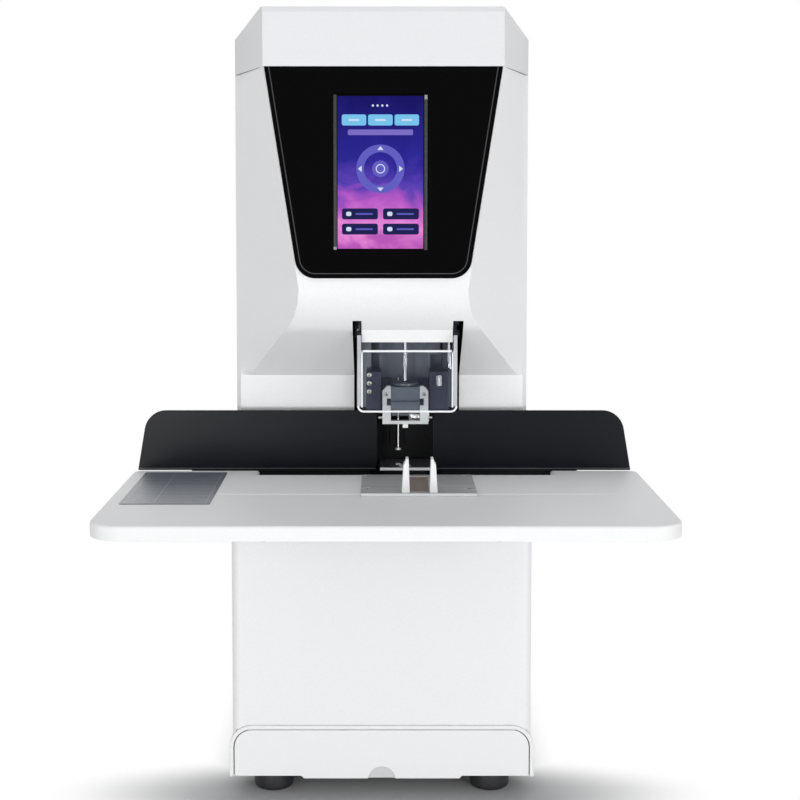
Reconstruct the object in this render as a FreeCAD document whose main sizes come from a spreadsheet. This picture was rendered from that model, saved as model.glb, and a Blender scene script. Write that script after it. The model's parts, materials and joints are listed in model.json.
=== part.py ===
"""Document riveting machine: a parametric assembly of separate solids.

Millimetres, +Z up, front towards -Y. The origin is the centre of the cabinet's
footprint, on the surface that the rubber feet stand on.
"""
import FreeCAD, Part
import Sketcher
import math
import os

doc = FreeCAD.newDocument("document_riveting_machine")
sheet = doc.addObject("Spreadsheet::Sheet", "Sizes")

# ---------------------------------------------------------------- driving sizes
SIZES = {
    # stance and lower cabinet
    "foot_height": 17.0, "foot_radius": 15.4, "foot_reach_x": 84.3, "foot_reach_y": 91.0,
    "cabinet_width": 229.0, "cabinet_depth": 236.0, "ledge_height": 212.0,
    "cabinet_wall": 2.5, "cabinet_corner": 7.0, "chassis_sheet": 3.0,
    # arched rim and waste drawer
    "rim_width": 232.6, "rim_top": 56.8, "rim_thick": 3.0, "rim_proud": 2.2, "rim_corner": 17.0,
    "drawer_gap": 0.7, "drawer_length": 150.0, "drawer_wall": 2.0, "drawer_skirt": 59.5,
    "notch_radius": 10.4, "bridge_rise": 40.0,
    # column and head
    "column_width": 227.2, "column_setback": 44.0, "head_reach": 75.0, "head_height": 233.0,
    "column_wall": 3.0, "column_corner": 5.0, "band_rise": 109.0,
    "nose_half_top": 87.5, "nose_half_chin": 62.0, "nose_half_arc": 75.0, "nose_half_foot": 104.0,
    "head_shift": 1.4, "chin_angle": 33.5, "chin_radius": 40.0,
    "slot_width": 82.0, "slot_shift": 1.5, "slot_front_inset": 15.0, "slot_lip_drop": 8.5,
    # top cap
    "cap_height": 43.0, "cap_shoulder": 27.0, "cap_wall": 3.0,
    # display
    "panel_half_top": 86.5, "panel_half_low": 62.5, "panel_height": 153.5,
    "panel_proud": 2.0, "panel_corner": 15.0, "screen_width": 62.2, "screen_height": 110.4,
    "screen_drop": 21.4, "screen_shift": -0.8, "screen_strip": 3.6, "screen_recess": 1.2,
    # table
    "table_width": 388.0, "table_rise": 37.0, "table_thick": 10.0, "table_reach": 224.0,
    "table_gap": 19.0, "table_shift": 3.0, "table_corner": 24.0, "table_rear_corner": 7.0,
    "table_travel": 80.0, "recess_width": 224.8, "recess_depth": 23.5, "strip_raise": 0.6,
    "strip_reach": 166.0, "strip_gap": 117.0,
    "plate_width": 82.5, "plate_gap": 51.0, "plate_reach": 125.0, "plate_thick": 2.4,
    "plate_shift": 23.5, "insert_width": 14.0, "finger_height": 24.4, "finger_thick": 5.8,
    "finger_top": 3.5, "finger_depth": 11.0, "finger_gap": 13.9,
    "label_width": 62.5, "label_length": 123.0, "label_inset": 10.5, "label_rear": 11.0,
    # table drive
    "rail_size": 12.0, "rail_height": 8.0, "block_length": 45.0,
    "block_width": 27.0, "block_height": 10.0, "rail_lift": 5.0, "block_reach": 62.0,
    "rail_rear_reach": 72.0, "rail_front_reach": 134.0, "console_half": 92.0, "console_sheet": 3.0,
    "gear_module": 1.0, "gear_teeth": 34.0, "gear_width": 8.0, "rack_back": 6.0,
    "pinion_x": -60.0, "pressure_angle": 20.0, "backlash": 0.25,
    "stepper_half": 14.0,
    # fence
    "fence_half": 191.3, "fence_shift": 2.0, "fence_gap": 13.0, "fence_thick": 3.5,
    "fence_rise": 45.8, "fence_drop": 1.0, "fence_taper": 7.9, "fence_corner": 17.0,
    "gap_half": 21.5,
    # head axis, bed and anvil
    "axis_x": 18.0, "axis_reach": 23.0, "bed_half": 19.3, "bed_reach": 32.0, "bed_inset": 8.0,
    "bed_rise": 4.4, "bed_thick": 2.4, "pad_radius": 4.5, "die_radius": 3.0,
    "needle_x": -5.2, "needle_y": 9.5, "arm_half": 16.0,
    # frame
    "spine_inset": 24.0, "spine_sheet": 8.0, "spine_half": 62.0, "spine_drop": 14.0,
    "guide_rail_width": 20.0, "guide_rail_thick": 9.0,
    # drill unit
    "bit_radius": 1.7, "bit_bore": 1.1, "bit_inset": 15.2, "bit_clearance": 0.9, "disc_clearance": 1.6,
    "bit_length": 92.0,
    "chuck_radius": 8.0, "chuck_length": 22.0, "spindle_radius": 5.0, "spindle_length": 46.0,
    "housing_radius": 13.0, "housing_length": 40.0, "drill_motor_radius": 17.0,
    "drill_motor_gap": 32.0, "feed_reach": 38.0,
    # press unit
    "presser_half": 17.4, "presser_lift": 34.4, "presser_height": 29.0,
    "presser_leg": 6.4, "presser_reach": 38.0, "presser_thick": 6.0, "disc_radius": 10.0,
    "disc_thick": 2.6, "nozzle_radius": 8.0,
    "nozzle_shift": 10.8,
    "needle_radius": 0.75, "needle_lift": 10.8, "needle_tip_radius": 1.9,
    "needle_head": 2.6, "screw_reach": 10.0, "screw_radius": 4.0, "press_reach": 34.5,
    "press_screw_radius": 2.3, "running_gap": 0.3,
    # guard
    "guard_half": 37.2, "guard_shift": 1.0, "guard_reach": 67.0, "guard_depth": 38.0,
    "guard_lift": 47.1, "guard_height": 61.5, "guard_panel": 46.5, "guard_wall": 3.0,
    "hinge_reach": 57.5, "hinge_rise": 58.1, "pivot_radius": 2.2,
}


class Size:
    """A length or angle that carries the spreadsheet expression it is made from."""

    def __init__(self, value, text):
        self.value = float(value)
        self.text = text

    def __add__(self, other):
        other = as_size(other)
        return Size(self.value + other.value, "(%s + %s)" % (self.text, other.text))

    def __sub__(self, other):
        other = as_size(other)
        return Size(self.value - other.value, "(%s - %s)" % (self.text, other.text))

    def __mul__(self, other):
        other = as_size(other)
        return Size(self.value * other.value, "(%s * %s)" % (self.text, other.text))

    def __truediv__(self, other):
        other = as_size(other)
        return Size(self.value / other.value, "(%s / %s)" % (self.text, other.text))

    def __neg__(self):
        return Size(-self.value, "(-1 * %s)" % self.text)

    def __radd__(self, other):
        return as_size(other) + self

    def __rsub__(self, other):
        return as_size(other) - self

    def __rmul__(self, other):
        return as_size(other) * self


def as_size(thing):
    return thing if isinstance(thing, Size) else Size(thing, repr(float(thing)))


def sine(angle):
    return Size(math.sin(math.radians(angle.value)), "sin(%s * 1 deg)" % angle.text)


def cosine(angle):
    return Size(math.cos(math.radians(angle.value)), "cos(%s * 1 deg)" % angle.text)


def tangent(angle):
    return Size(math.tan(math.radians(angle.value)), "tan(%s * 1 deg)" % angle.text)


class Sizes:
    """Every driving size by name, written to the spreadsheet as it is read in."""

    def __init__(self, table):
        for row, (name, value) in enumerate(table.items(), start=1):
            sheet.set("A%d" % row, name)
            sheet.set("B%d" % row, repr(value))
            sheet.setAlias("B%d" % row, name)
            setattr(self, name, Size(value, "Sizes." + name))


S = Sizes(SIZES)
doc.recompute()

AXES = {"x": FreeCAD.Vector(1, 0, 0), "y": FreeCAD.Vector(0, 1, 0), "z": FreeCAD.Vector(0, 0, 1)}
TURNS = {
    "x": FreeCAD.Rotation(FreeCAD.Vector(0, 1, 0), 90),
    "y": FreeCAD.Rotation(FreeCAD.Vector(1, 0, 0), -90),
    "z": FreeCAD.Rotation(),
}
nodes = {}
counter = {"n": 0}


def fresh(stem):
    """A name that is unused in the document, for a feature on the way to a node."""
    counter["n"] += 1
    return "%s_%d" % (stem, counter["n"])


def bind(thing, prop, size):
    size = as_size(size)
    thing.setExpression(prop, size.text)


def place(thing, x, y, z):
    for axis, size in (("x", x), ("y", y), ("z", z)):
        bind(thing, "Placement.Base." + axis, size)


def box(x, y, z, name="block"):
    """A box between two corners; each of x, y, z is a (low, high) pair."""
    thing = doc.addObject("Part::Box", fresh(name))
    for prop, (low, high) in (("Length", x), ("Width", y), ("Height", z)):
        bind(thing, prop, as_size(high) - low)
    place(thing, x[0], y[0], z[0])
    return thing


def cylinder(centre, radius, span, axis="z", name="round"):
    """A cylinder along an axis; centre holds the other two coordinates in x, y, z order."""
    thing = doc.addObject("Part::Cylinder", fresh(name))
    bind(thing, "Radius", radius)
    bind(thing, "Height", as_size(span[1]) - span[0])
    thing.Placement.Rotation = TURNS[axis]
    spot = list(centre)
    spot.insert("xyz".index(axis), span[0])
    place(thing, *spot)
    return thing


def stud(centre, radius, span, sides=12, axis="z", name="stud"):
    """A small many-sided bar for screw heads, posts and pins that nothing turns on."""
    thing = doc.addObject("Part::Prism", fresh(name))
    thing.Polygon = sides
    bind(thing, "Circumradius", radius)
    bind(thing, "Height", as_size(span[1]) - span[0])
    thing.Placement.Rotation = TURNS[axis]
    spot = list(centre)
    spot.insert("xyz".index(axis), span[0])
    place(thing, *spot)
    return thing


def cone(centre, low_radius, high_radius, span, name="taper"):
    thing = doc.addObject("Part::Cone", fresh(name))
    bind(thing, "Radius1", low_radius)
    bind(thing, "Radius2", high_radius)
    bind(thing, "Height", as_size(span[1]) - span[0])
    place(thing, centre[0], centre[1], span[0])
    return thing


def fuse(*parts, name="joined"):
    thing = doc.addObject("Part::MultiFuse", fresh(name))
    thing.Shapes = list(parts)
    thing.Refine = True
    return thing


def cut(base, *tools, name="cut"):
    thing = doc.addObject("Part::Cut", fresh(name))
    thing.Base = base
    thing.Tool = tools[0] if len(tools) == 1 else fuse(*tools)
    thing.Refine = True
    return thing


def group(*parts, name="set"):
    thing = doc.addObject("Part::Compound", fresh(name))
    thing.Links = list(parts)
    return thing


def rounded(base, radius, pick, name="soft"):
    """Rounds the edges that pick(edge) chooses, by a size of the sheet."""
    doc.recompute()
    chosen = [i for i, edge in enumerate(base.Shape.Edges, start=1) if pick(edge)]
    if not chosen:
        raise RuntimeError("no edge to round on " + base.Name)
    thing = doc.addObject("Part::Fillet", fresh(name))
    thing.Base = base
    thing.Edges = [(i, as_size(radius).value, as_size(radius).value) for i in chosen]
    return thing


def along(edge, axis):
    """True for a straight edge that runs along an axis."""
    if edge.Curve.TypeId != "Part::GeomLine":
        return False
    return abs(abs(edge.Curve.Direction.dot(AXES[axis])) - 1) < 1e-6


def middle(edge):
    return edge.CenterOfMass


def near(number, size, slack=0.05):
    return abs(number - as_size(size).value) < slack


def sketch(plane, offset, outline, holes=()):
    """A closed outline of straight sides with each corner bound to its sizes.

    plane is xy, xz or yz and offset the place along its normal. Corners are
    pairs in the plane's own coordinates. holes are (across, up, radius) circles.
    """
    thing = doc.addObject("Sketcher::SketchObject", fresh("outline"))
    turn = {
        "xy": FreeCAD.Rotation(),
        "xz": FreeCAD.Rotation(FreeCAD.Vector(1, 0, 0), 90),
        "yz": FreeCAD.Rotation(FreeCAD.Vector(0, 0, 1), 90).multiply(
            FreeCAD.Rotation(FreeCAD.Vector(1, 0, 0), 90)),
    }[plane]
    thing.Placement.Rotation = turn
    bind(thing, "Placement.Base." + {"xy": "z", "xz": "y", "yz": "x"}[plane], offset)
    corners = [(as_size(a), as_size(b)) for a, b in outline]
    spots = [FreeCAD.Vector(a.value, b.value, 0) for a, b in corners]
    count = len(spots)
    sides = [Part.LineSegment(spots[i], spots[(i + 1) % count]) for i in range(count)]
    thing.addGeometry(sides, False)
    rules = [Sketcher.Constraint("Coincident", i, 2, (i + 1) % count, 1) for i in range(count)]
    bound = []
    for i, (a, b) in enumerate(corners):
        rules.append(Sketcher.Constraint("DistanceX", -1, 1, i, 1, a.value))
        bound.append((len(rules) - 1, a))
        rules.append(Sketcher.Constraint("DistanceY", -1, 1, i, 1, b.value))
        bound.append((len(rules) - 1, b))
    for across, up, radius in holes:
        across, up, radius = as_size(across), as_size(up), as_size(radius)
        ring = thing.addGeometry(Part.Circle(FreeCAD.Vector(across.value, up.value, 0),
                                             FreeCAD.Vector(0, 0, 1), radius.value), False)
        rules.append(Sketcher.Constraint("DistanceX", -1, 1, ring, 3, across.value))
        bound.append((len(rules) - 1, across))
        rules.append(Sketcher.Constraint("DistanceY", -1, 1, ring, 3, up.value))
        bound.append((len(rules) - 1, up))
        rules.append(Sketcher.Constraint("Radius", ring, radius.value))
        bound.append((len(rules) - 1, radius))
    thing.addConstraint(rules)
    for index, size in bound:
        thing.setExpression("Constraints[%d]" % index, size.text)
    return thing


def prism(plane, span, outline, holes=(), name="profile"):
    """An outline pushed out along its plane's axis, from span[0] to span[1]."""
    face = sketch(plane, span[0], outline, holes)
    thing = doc.addObject("Part::Extrusion", fresh(name))
    thing.Base = face
    thing.DirMode = "Custom"
    thing.Dir = AXES[{"xy": "z", "xz": "y", "yz": "x"}[plane]]
    thing.Solid = True
    bind(thing, "LengthFwd", as_size(span[1]) - span[0])
    return thing


def loft(sections, name="loft"):
    """A solid with flat strips between level outlines, given as (height, outline)."""
    thing = doc.addObject("Part::Loft", fresh(name))
    thing.Sections = [sketch("xy", height, outline) for height, outline in sections]
    thing.Solid = True
    thing.Ruled = True
    return thing


def node(label, thing):
    """Names a finished sub-part: the label is its file's name."""
    thing.Label = label
    nodes[label] = thing
    return thing


# ------------------------------------------------------- places shared by pieces
cabinet_half = S.cabinet_width / 2
cabinet_front = -(S.cabinet_depth / 2)
back_plane = S.cabinet_depth / 2
column_half = S.column_width / 2
column_front = cabinet_front + S.column_setback
band_front = column_front - 0.6
table_front = column_front - S.table_reach
table_rear = column_front - S.table_gap
strip_front = column_front - S.strip_gap
plate_rear = column_front - S.plate_gap
plate_front = column_front - S.plate_reach
rail_rear_y = column_front - S.rail_rear_reach
rail_front_y = column_front - S.rail_front_reach
fence_front = column_front - S.fence_gap
axis_y = column_front - S.axis_reach
bed_front = column_front - S.bed_reach
bed_rear = column_front + S.bed_inset
spine_y = column_front + S.spine_inset
presser_front = column_front - S.presser_reach
screw_y = column_front - S.screw_reach
guard_front = column_front - S.guard_reach
hinge_y = column_front - S.hinge_reach
band_top = S.ledge_height + S.band_rise
seam_height = band_top + S.head_height
spine_top = seam_height - S.spine_drop
table_top = S.ledge_height + S.table_rise
fence_low, fence_top = table_top - S.fence_drop, table_top + S.fence_rise
bed_top = table_top + S.bed_rise
presser_low = bed_top + S.presser_lift
presser_high = presser_low + S.presser_height
bit_tip = presser_low + S.bit_inset
needle_tip = bed_top + S.needle_lift
guard_low = bed_top + S.guard_lift
guard_high, guard_panel_top = guard_low + S.guard_height, guard_low + S.guard_panel
hinge_z = guard_low + S.hinge_rise
head_front = column_front - S.head_reach
panel_front = head_front - S.panel_proud
table_low = table_top - S.table_thick
chassis_top = S.foot_height + S.chassis_sheet
slot_centre = S.axis_x + S.slot_shift
slot_half = S.slot_width / 2
slot_front = head_front + S.slot_front_inset
rail_low = table_low - S.rail_height
console_top = rail_low - S.rail_lift
console_foot = console_top - 22
head_tan = tangent(S.chin_angle)
chin_height = band_top + S.head_reach * head_tan
slot_roof = band_top + (column_front - slot_front) * head_tan
spine_front = spine_y - S.spine_sheet
rail_front = spine_front - S.guide_rail_thick
cap_top = seam_height + S.cap_height
panel_low = seam_height - S.panel_height
gear_radius = S.gear_module * S.gear_teeth / 2
rack_pitch_y = table_rear - S.recess_depth - 1.5
pinion_y = rack_pitch_y + gear_radius
bridge_top = S.foot_height + S.bridge_rise + S.chassis_sheet
inlet_z = bridge_top + 30
guard_centre = S.axis_x + S.guard_shift
guard_left, guard_right = guard_centre - S.guard_half, guard_centre + S.guard_half
needle_spot = (S.axis_x + S.needle_x, axis_y + S.needle_y)
lip_left = guard_left + S.guard_wall + 0.4
lip_right = guard_right - S.guard_wall - 0.4
drill_screw_spot = (S.axis_x - S.feed_reach, screw_y)
press_screw_spot = (S.axis_x + S.press_reach, screw_y)


# --------------------------------------------------------------- base and cabinet
def build_chassis():
    """Folded steel tray that carries everything, with an upstand on each side."""
    half = cabinet_half - S.cabinet_wall - 0.5
    front = cabinet_front + S.cabinet_wall + 22
    back = back_plane - S.cabinet_wall - 0.5
    floor = box((-half, half), (front, back), (S.foot_height, chassis_top))
    upstand = (S.foot_height, S.foot_height + S.bridge_rise)
    sides = [box((x0, x0 + S.chassis_sheet), (front, back), upstand)
             for x0 in (-half, half - S.chassis_sheet)]
    rear = box((-half, half), (back - S.chassis_sheet, back), upstand)
    # bridge: the deck over the drawer that the spine stands on
    bridge = box((-half, half), (column_front + 4, back), (upstand[1], bridge_top))
    # front pads carry the two front feet under the drawer's skirt
    pads = [box((sign * S.foot_reach_x - 16, sign * S.foot_reach_x + 16),
                (-S.foot_reach_y - 16, front + 1), (S.foot_height, chassis_top))
            for sign in (-1, 1)]
    return node("base_chassis", fuse(floor, *sides, rear, bridge, *pads))


def build_feet():
    """Four rubber feet, each a plain many-sided disc."""
    feet = []
    for x in (-S.foot_reach_x, S.foot_reach_x):
        for y in (-S.foot_reach_y, S.foot_reach_y):
            feet.append(stud((x, y), S.foot_radius, (0, S.foot_height), 24))
    return node("rubber_feet", group(*feet))


def build_cabinet():
    """Lower housing: front, two sides and the ledge under the table, open below and behind."""
    outer = box((-cabinet_half, cabinet_half), (cabinet_front, back_plane),
                (S.foot_height, S.ledge_height))
    outer = rounded(outer, S.cabinet_corner,
                    lambda e: along(e, "z") and near(middle(e).y, cabinet_front))
    outer = rounded(outer, 2.0, lambda e: near(middle(e).z, S.ledge_height)
                    and middle(e).y < back_plane.value - 1)
    wall = S.cabinet_wall
    hollow = box((-cabinet_half + wall, cabinet_half - wall), (cabinet_front + wall, back_plane + 1),
                 (S.foot_height - 1, S.ledge_height - wall))
    # arch: the drawer's opening through the front wall
    arch_half = S.rim_width / 2 - S.rim_thick - 2
    arch = box((-arch_half, arch_half), (cabinet_front - 1, cabinet_front + wall + 1),
               (S.foot_height - 1, S.rim_top - S.rim_thick - 1))
    # the column stands over this hole in the ledge
    well = box((-column_half + S.column_wall, column_half - S.column_wall),
               (column_front + S.column_wall, back_plane + 1),
               (S.ledge_height - wall - 1, S.ledge_height + 1))
    arm_way = box((S.axis_x - S.arm_half - 1, S.axis_x + S.arm_half + 1),
                  (bed_front - 1, column_front + S.column_wall + 1),
                  (S.ledge_height - wall - 1, S.ledge_height + 1))
    shaft_way = cylinder((S.pinion_x, pinion_y), 5.0, (S.ledge_height - wall - 1, S.ledge_height + 1))
    return node("cabinet_shell", cut(outer, hollow, arch, well, arm_way, shaft_way))


def build_arch_rim():
    """Raised arched band round the foot of the cabinet, framing the drawer."""
    half = S.rim_width / 2
    front = cabinet_front - S.rim_proud
    outer = box((-half, half), (front, cabinet_front + 14), (S.foot_height, S.rim_top))
    outer = rounded(outer, S.rim_corner,
                    lambda e: along(e, "y") and near(middle(e).z, S.rim_top))
    inner_half = half - S.rim_thick
    opening = box((-inner_half, inner_half), (front - 1, cabinet_front + 1),
                  (S.foot_height - 1, S.rim_top - S.rim_thick))
    opening = rounded(opening, S.rim_corner - S.rim_thick,
                      lambda e: along(e, "y") and near(middle(e).z, S.rim_top - S.rim_thick))
    body_seat = box((-cabinet_half, cabinet_half), (cabinet_front, cabinet_front + 15),
                    (S.foot_height - 1, S.rim_top + 1))
    return node("arch_rim", cut(outer, opening, body_seat))


def build_drawer():
    """Waste drawer: an open tub behind an arched front with a half-moon finger notch."""
    half = S.rim_width / 2 - S.rim_thick - S.drawer_gap
    top = S.rim_top - S.rim_thick - S.drawer_gap
    front = cabinet_front - S.rim_proud + 0.4
    inner = cabinet_front - 0.2
    face = box((-half, half), (front, inner), (S.foot_height + 0.5, top))
    face = rounded(face, S.rim_corner - S.rim_thick - S.drawer_gap,
                   lambda e: along(e, "y") and near(middle(e).z, top))
    skirt = box((-S.drawer_skirt, S.drawer_skirt), (front, inner),
                (S.foot_height - 1.6, S.foot_height + 1))
    tub_half = cabinet_half - S.cabinet_wall - 12
    low = chassis_top + 0.4
    tub = box((-tub_half, tub_half), (inner - 0.5, inner + S.drawer_length), (low, top - 5))
    room = box((-tub_half + S.drawer_wall, tub_half - S.drawer_wall),
               (inner + S.drawer_wall, inner + S.drawer_length - S.drawer_wall),
               (low + S.drawer_wall, top + 1))
    notch = cylinder((0, S.foot_height - 2.6), S.notch_radius, (front - 1, inner + 0.1), axis="y")
    return node("waste_drawer", cut(fuse(face, skirt, tub), room, notch))


# ------------------------------------------------------------------ column and head
def head_outline(front, nose_half, inset=0.0, back=back_plane):
    """Level section of the column: square behind, angled faces to the nose in front."""
    half = column_half - inset
    shoulder = column_front + inset
    corner = S.column_corner
    return [(-half, back), (-half, shoulder + corner), (-half + corner * 0.7, shoulder + 0.3),
            (S.head_shift - nose_half + inset, front + inset),
            (S.head_shift + nose_half - inset, front + inset),
            (half - corner * 0.7, shoulder + 0.3), (half, shoulder + corner), (half, back)]


def head_sections(inset=0.0, over=0.0):
    """Sections from the band up: chin slope, chin arc, then the tapering display face."""
    turn = 90 - S.chin_angle
    arc_top = chin_height + S.chin_radius * tangent(turn / 2)
    steps = 4
    rows = [(band_top, head_outline(band_front, S.nose_half_foot, inset))]
    for step in range(steps, -1, -1):
        share = step / steps
        angle = turn * share
        front = head_front + S.chin_radius * (1 - cosine(angle))
        height = arc_top - S.chin_radius * sine(angle)
        nose = S.nose_half_chin + (S.nose_half_arc - S.nose_half_chin) * (share * share)
        rows.append((height, head_outline(front, nose, inset)))
    rows.append((seam_height, head_outline(head_front, S.nose_half_top, inset)))
    if over:
        rows.append((seam_height + over, head_outline(head_front, S.nose_half_top, inset)))
    return rows


def build_column():
    """Column and head cover in one moulding, open behind, with the slot for the press unit."""
    foot = head_outline(band_front, S.nose_half_foot)
    outer = fuse(loft(head_sections()), loft([(S.ledge_height, foot), (band_top, foot)]))
    wall = S.column_wall
    inner_foot = head_outline(band_front, S.nose_half_foot, wall)
    hollow = fuse(loft(head_sections(wall, 1.0)),
                  loft([(S.ledge_height - 1, inner_foot), (band_top, inner_foot)]))
    open_back = box((-column_half + wall, column_half - wall), (back_plane - 8, back_plane + 1),
                    (S.ledge_height - 1, seam_height + 1))
    slot = box((slot_centre - slot_half, slot_centre + slot_half),
               (slot_front + 2.0, column_front + wall + 2), (S.ledge_height - 1, chin_height + 12))
    # the guard's arms rise into a channel at each side of the lip
    channels = [box((x0, x1), (guard_front, slot_front + 2.5), (S.ledge_height, chin_height + 1.5))
                for x0, x1 in ((slot_centre - slot_half, lip_left), (lip_right, slot_centre + slot_half))]
    shell = cut(outer, hollow, open_back, slot, *channels)
    lip = box((lip_left, lip_right), (slot_front, slot_front + 2.0),
              (slot_roof - S.slot_lip_drop, slot_roof + 3))
    ears = [box((x0, x0 + 5), (slot_front, hinge_y + S.pivot_radius + 2),
                (slot_roof - S.slot_lip_drop, slot_roof + 3)) for x0 in (lip_left, lip_right - 5)]
    pivot_hole = cylinder((hinge_y, hinge_z), S.pivot_radius, (lip_left - 1, lip_right + 1), axis="x")
    return node("column_cover", cut(fuse(shell, lip, *ears), pivot_hole))


def crown_outline(inset):
    """Level outline of the cap's flat top, within the side bevels."""
    half = S.nose_half_top - inset * 0.3
    shoulder = column_front + S.column_corner + inset
    front = panel_front + 1.5 + inset
    back = back_plane - inset
    return [(-half, back), (-half, shoulder), (-half + 0.5, shoulder - 4.7),
            (S.head_shift - half + 1.2, front), (S.head_shift + half - 1.2, front),
            (half - 0.5, shoulder - 4.7), (half, shoulder), (half, back)]


def build_cap():
    """Top cap: a hollow lid with side bevels, standing on the seam."""
    foot = head_outline(panel_front, S.nose_half_top)
    shoulder = seam_height + S.cap_shoulder
    outer = loft([(seam_height, foot), (shoulder, foot), (cap_top, crown_outline(0.0))])
    inner = head_outline(panel_front, S.nose_half_top, S.cap_wall, back_plane - S.cap_wall)
    hollow = loft([(seam_height - 1, inner), (shoulder - S.cap_wall * 0.57, inner),
                   (cap_top - S.cap_wall, crown_outline(S.cap_wall))])
    return node("top_cap", cut(outer, hollow))


def build_display():
    """Black glossy panel, an upside-down trapezoid, with a recess for the screen."""
    centre = S.head_shift
    outline = [(centre - S.panel_half_top, seam_height), (centre - S.panel_half_low, panel_low),
               (centre + S.panel_half_low, panel_low), (centre + S.panel_half_top, seam_height)]
    plate = prism("xz", (panel_front, head_front), outline)
    plate = rounded(plate, S.panel_corner,
                    lambda e: along(e, "y") and near(middle(e).z, panel_low))
    glass_left = S.screen_shift - S.screen_width / 2
    glass_right = S.screen_shift + S.screen_width / 2
    left, right = glass_left - S.screen_strip, glass_right + S.screen_strip
    screen_top = seam_height - S.screen_drop
    window = box((left, right), (panel_front - 1, panel_front + S.screen_recess),
                 (screen_top - S.screen_height - 1.5, screen_top + 1.5))
    node("display_panel", cut(plate, window))
    glass = box((glass_left, glass_right), (panel_front + 0.5, panel_front + S.screen_recess),
                (screen_top - S.screen_height, screen_top))
    node("touch_screen", glass)
    strips = [box((x0, x0 + S.screen_strip - 0.6), (panel_front + 0.3, panel_front + S.screen_recess),
                  (screen_top - S.screen_height - 1, screen_top + 1))
              for x0 in (left + 0.2, glass_right + 0.4)]
    node("screen_strips", group(*strips))


def build_rear():
    """Rear cover with louvres, its screws, the mains inlet and the rocker switch."""
    half = column_half - S.column_wall - 0.4
    low_half = cabinet_half - S.cabinet_wall - 0.4
    upper = box((-half, half), (back_plane - 2.5, back_plane), (S.ledge_height - 1, seam_height - 1))
    lower = box((-low_half, low_half), (back_plane - 2.5, back_plane),
                (bridge_top - 3, S.ledge_height - S.cabinet_wall - 0.4))
    neck = box((-half, half), (back_plane - 2.5, back_plane), (S.ledge_height - 4, S.ledge_height))
    sheet_plate = fuse(upper, lower, neck)
    vents = [box((-48, 48), (back_plane - 4, back_plane + 1), (z, z + 4))
             for z in (seam_height - 134 + 12 * k for k in range(9))]
    low_vents = [box((-48, 48), (back_plane - 4, back_plane + 1), (z, z + 4))
                 for z in (S.ledge_height - 82 + 12 * k for k in range(5))]
    inlet_hole = box((-72, -45), (back_plane - 4, back_plane + 1), (inlet_z - 10, inlet_z + 10))
    switch_hole = box((-38, -26), (back_plane - 4, back_plane + 1), (inlet_z - 10, inlet_z + 10))
    node("rear_cover", cut(sheet_plate, *vents, *low_vents, inlet_hole, switch_hole))
    screws = [stud((x, z), 3.0, (back_plane, back_plane + 1.8), axis="y")
              for x in (-half + 7, half - 7)
              for z in (bridge_top + 5, S.ledge_height - 12, band_top + 59, seam_height - 14)]
    node("rear_cover_screws", group(*screws))
    body = box((-71.7, -45.3), (back_plane - 18, back_plane), (inlet_z - 9.7, inlet_z + 9.7))
    flange = box((-75, -23), (back_plane, back_plane + 2.5), (inlet_z - 14, inlet_z + 14))
    mouth = box((-70, -47), (back_plane - 14, back_plane + 3), (inlet_z - 7.5, inlet_z + 7.5))
    pins = [box((x - 1, x + 1), (back_plane - 14, back_plane - 2), (inlet_z + z - 2, inlet_z + z + 2))
            for x, z in ((-65.5, -1.5), (-58.5, 1.5), (-51.5, -1.5))]
    shell = box((-37.7, -26.3), (back_plane - 14, back_plane), (inlet_z - 9.7, inlet_z + 9.7))
    well = box((-36.5, -27.5), (back_plane - 11, back_plane + 3), (inlet_z - 8.5, inlet_z + 8.5))
    node("power_inlet", fuse(cut(fuse(body, flange, shell), mouth, well), *pins))
    rocker = prism("yz", (-36.1, -27.9),
                   [(back_plane + 1.2, inlet_z - 7.4), (back_plane + 2.0, inlet_z),
                    (back_plane + 4.6, inlet_z + 6.4), (back_plane - 3.5, inlet_z + 6.4),
                    (back_plane - 6.0, inlet_z), (back_plane - 3.5, inlet_z - 6.6)])
    pin = cylinder((back_plane - 1, inlet_z), 1.5, (-36.45, -27.55), axis="x")
    node("rocker_switch", fuse(rocker, pin))


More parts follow.
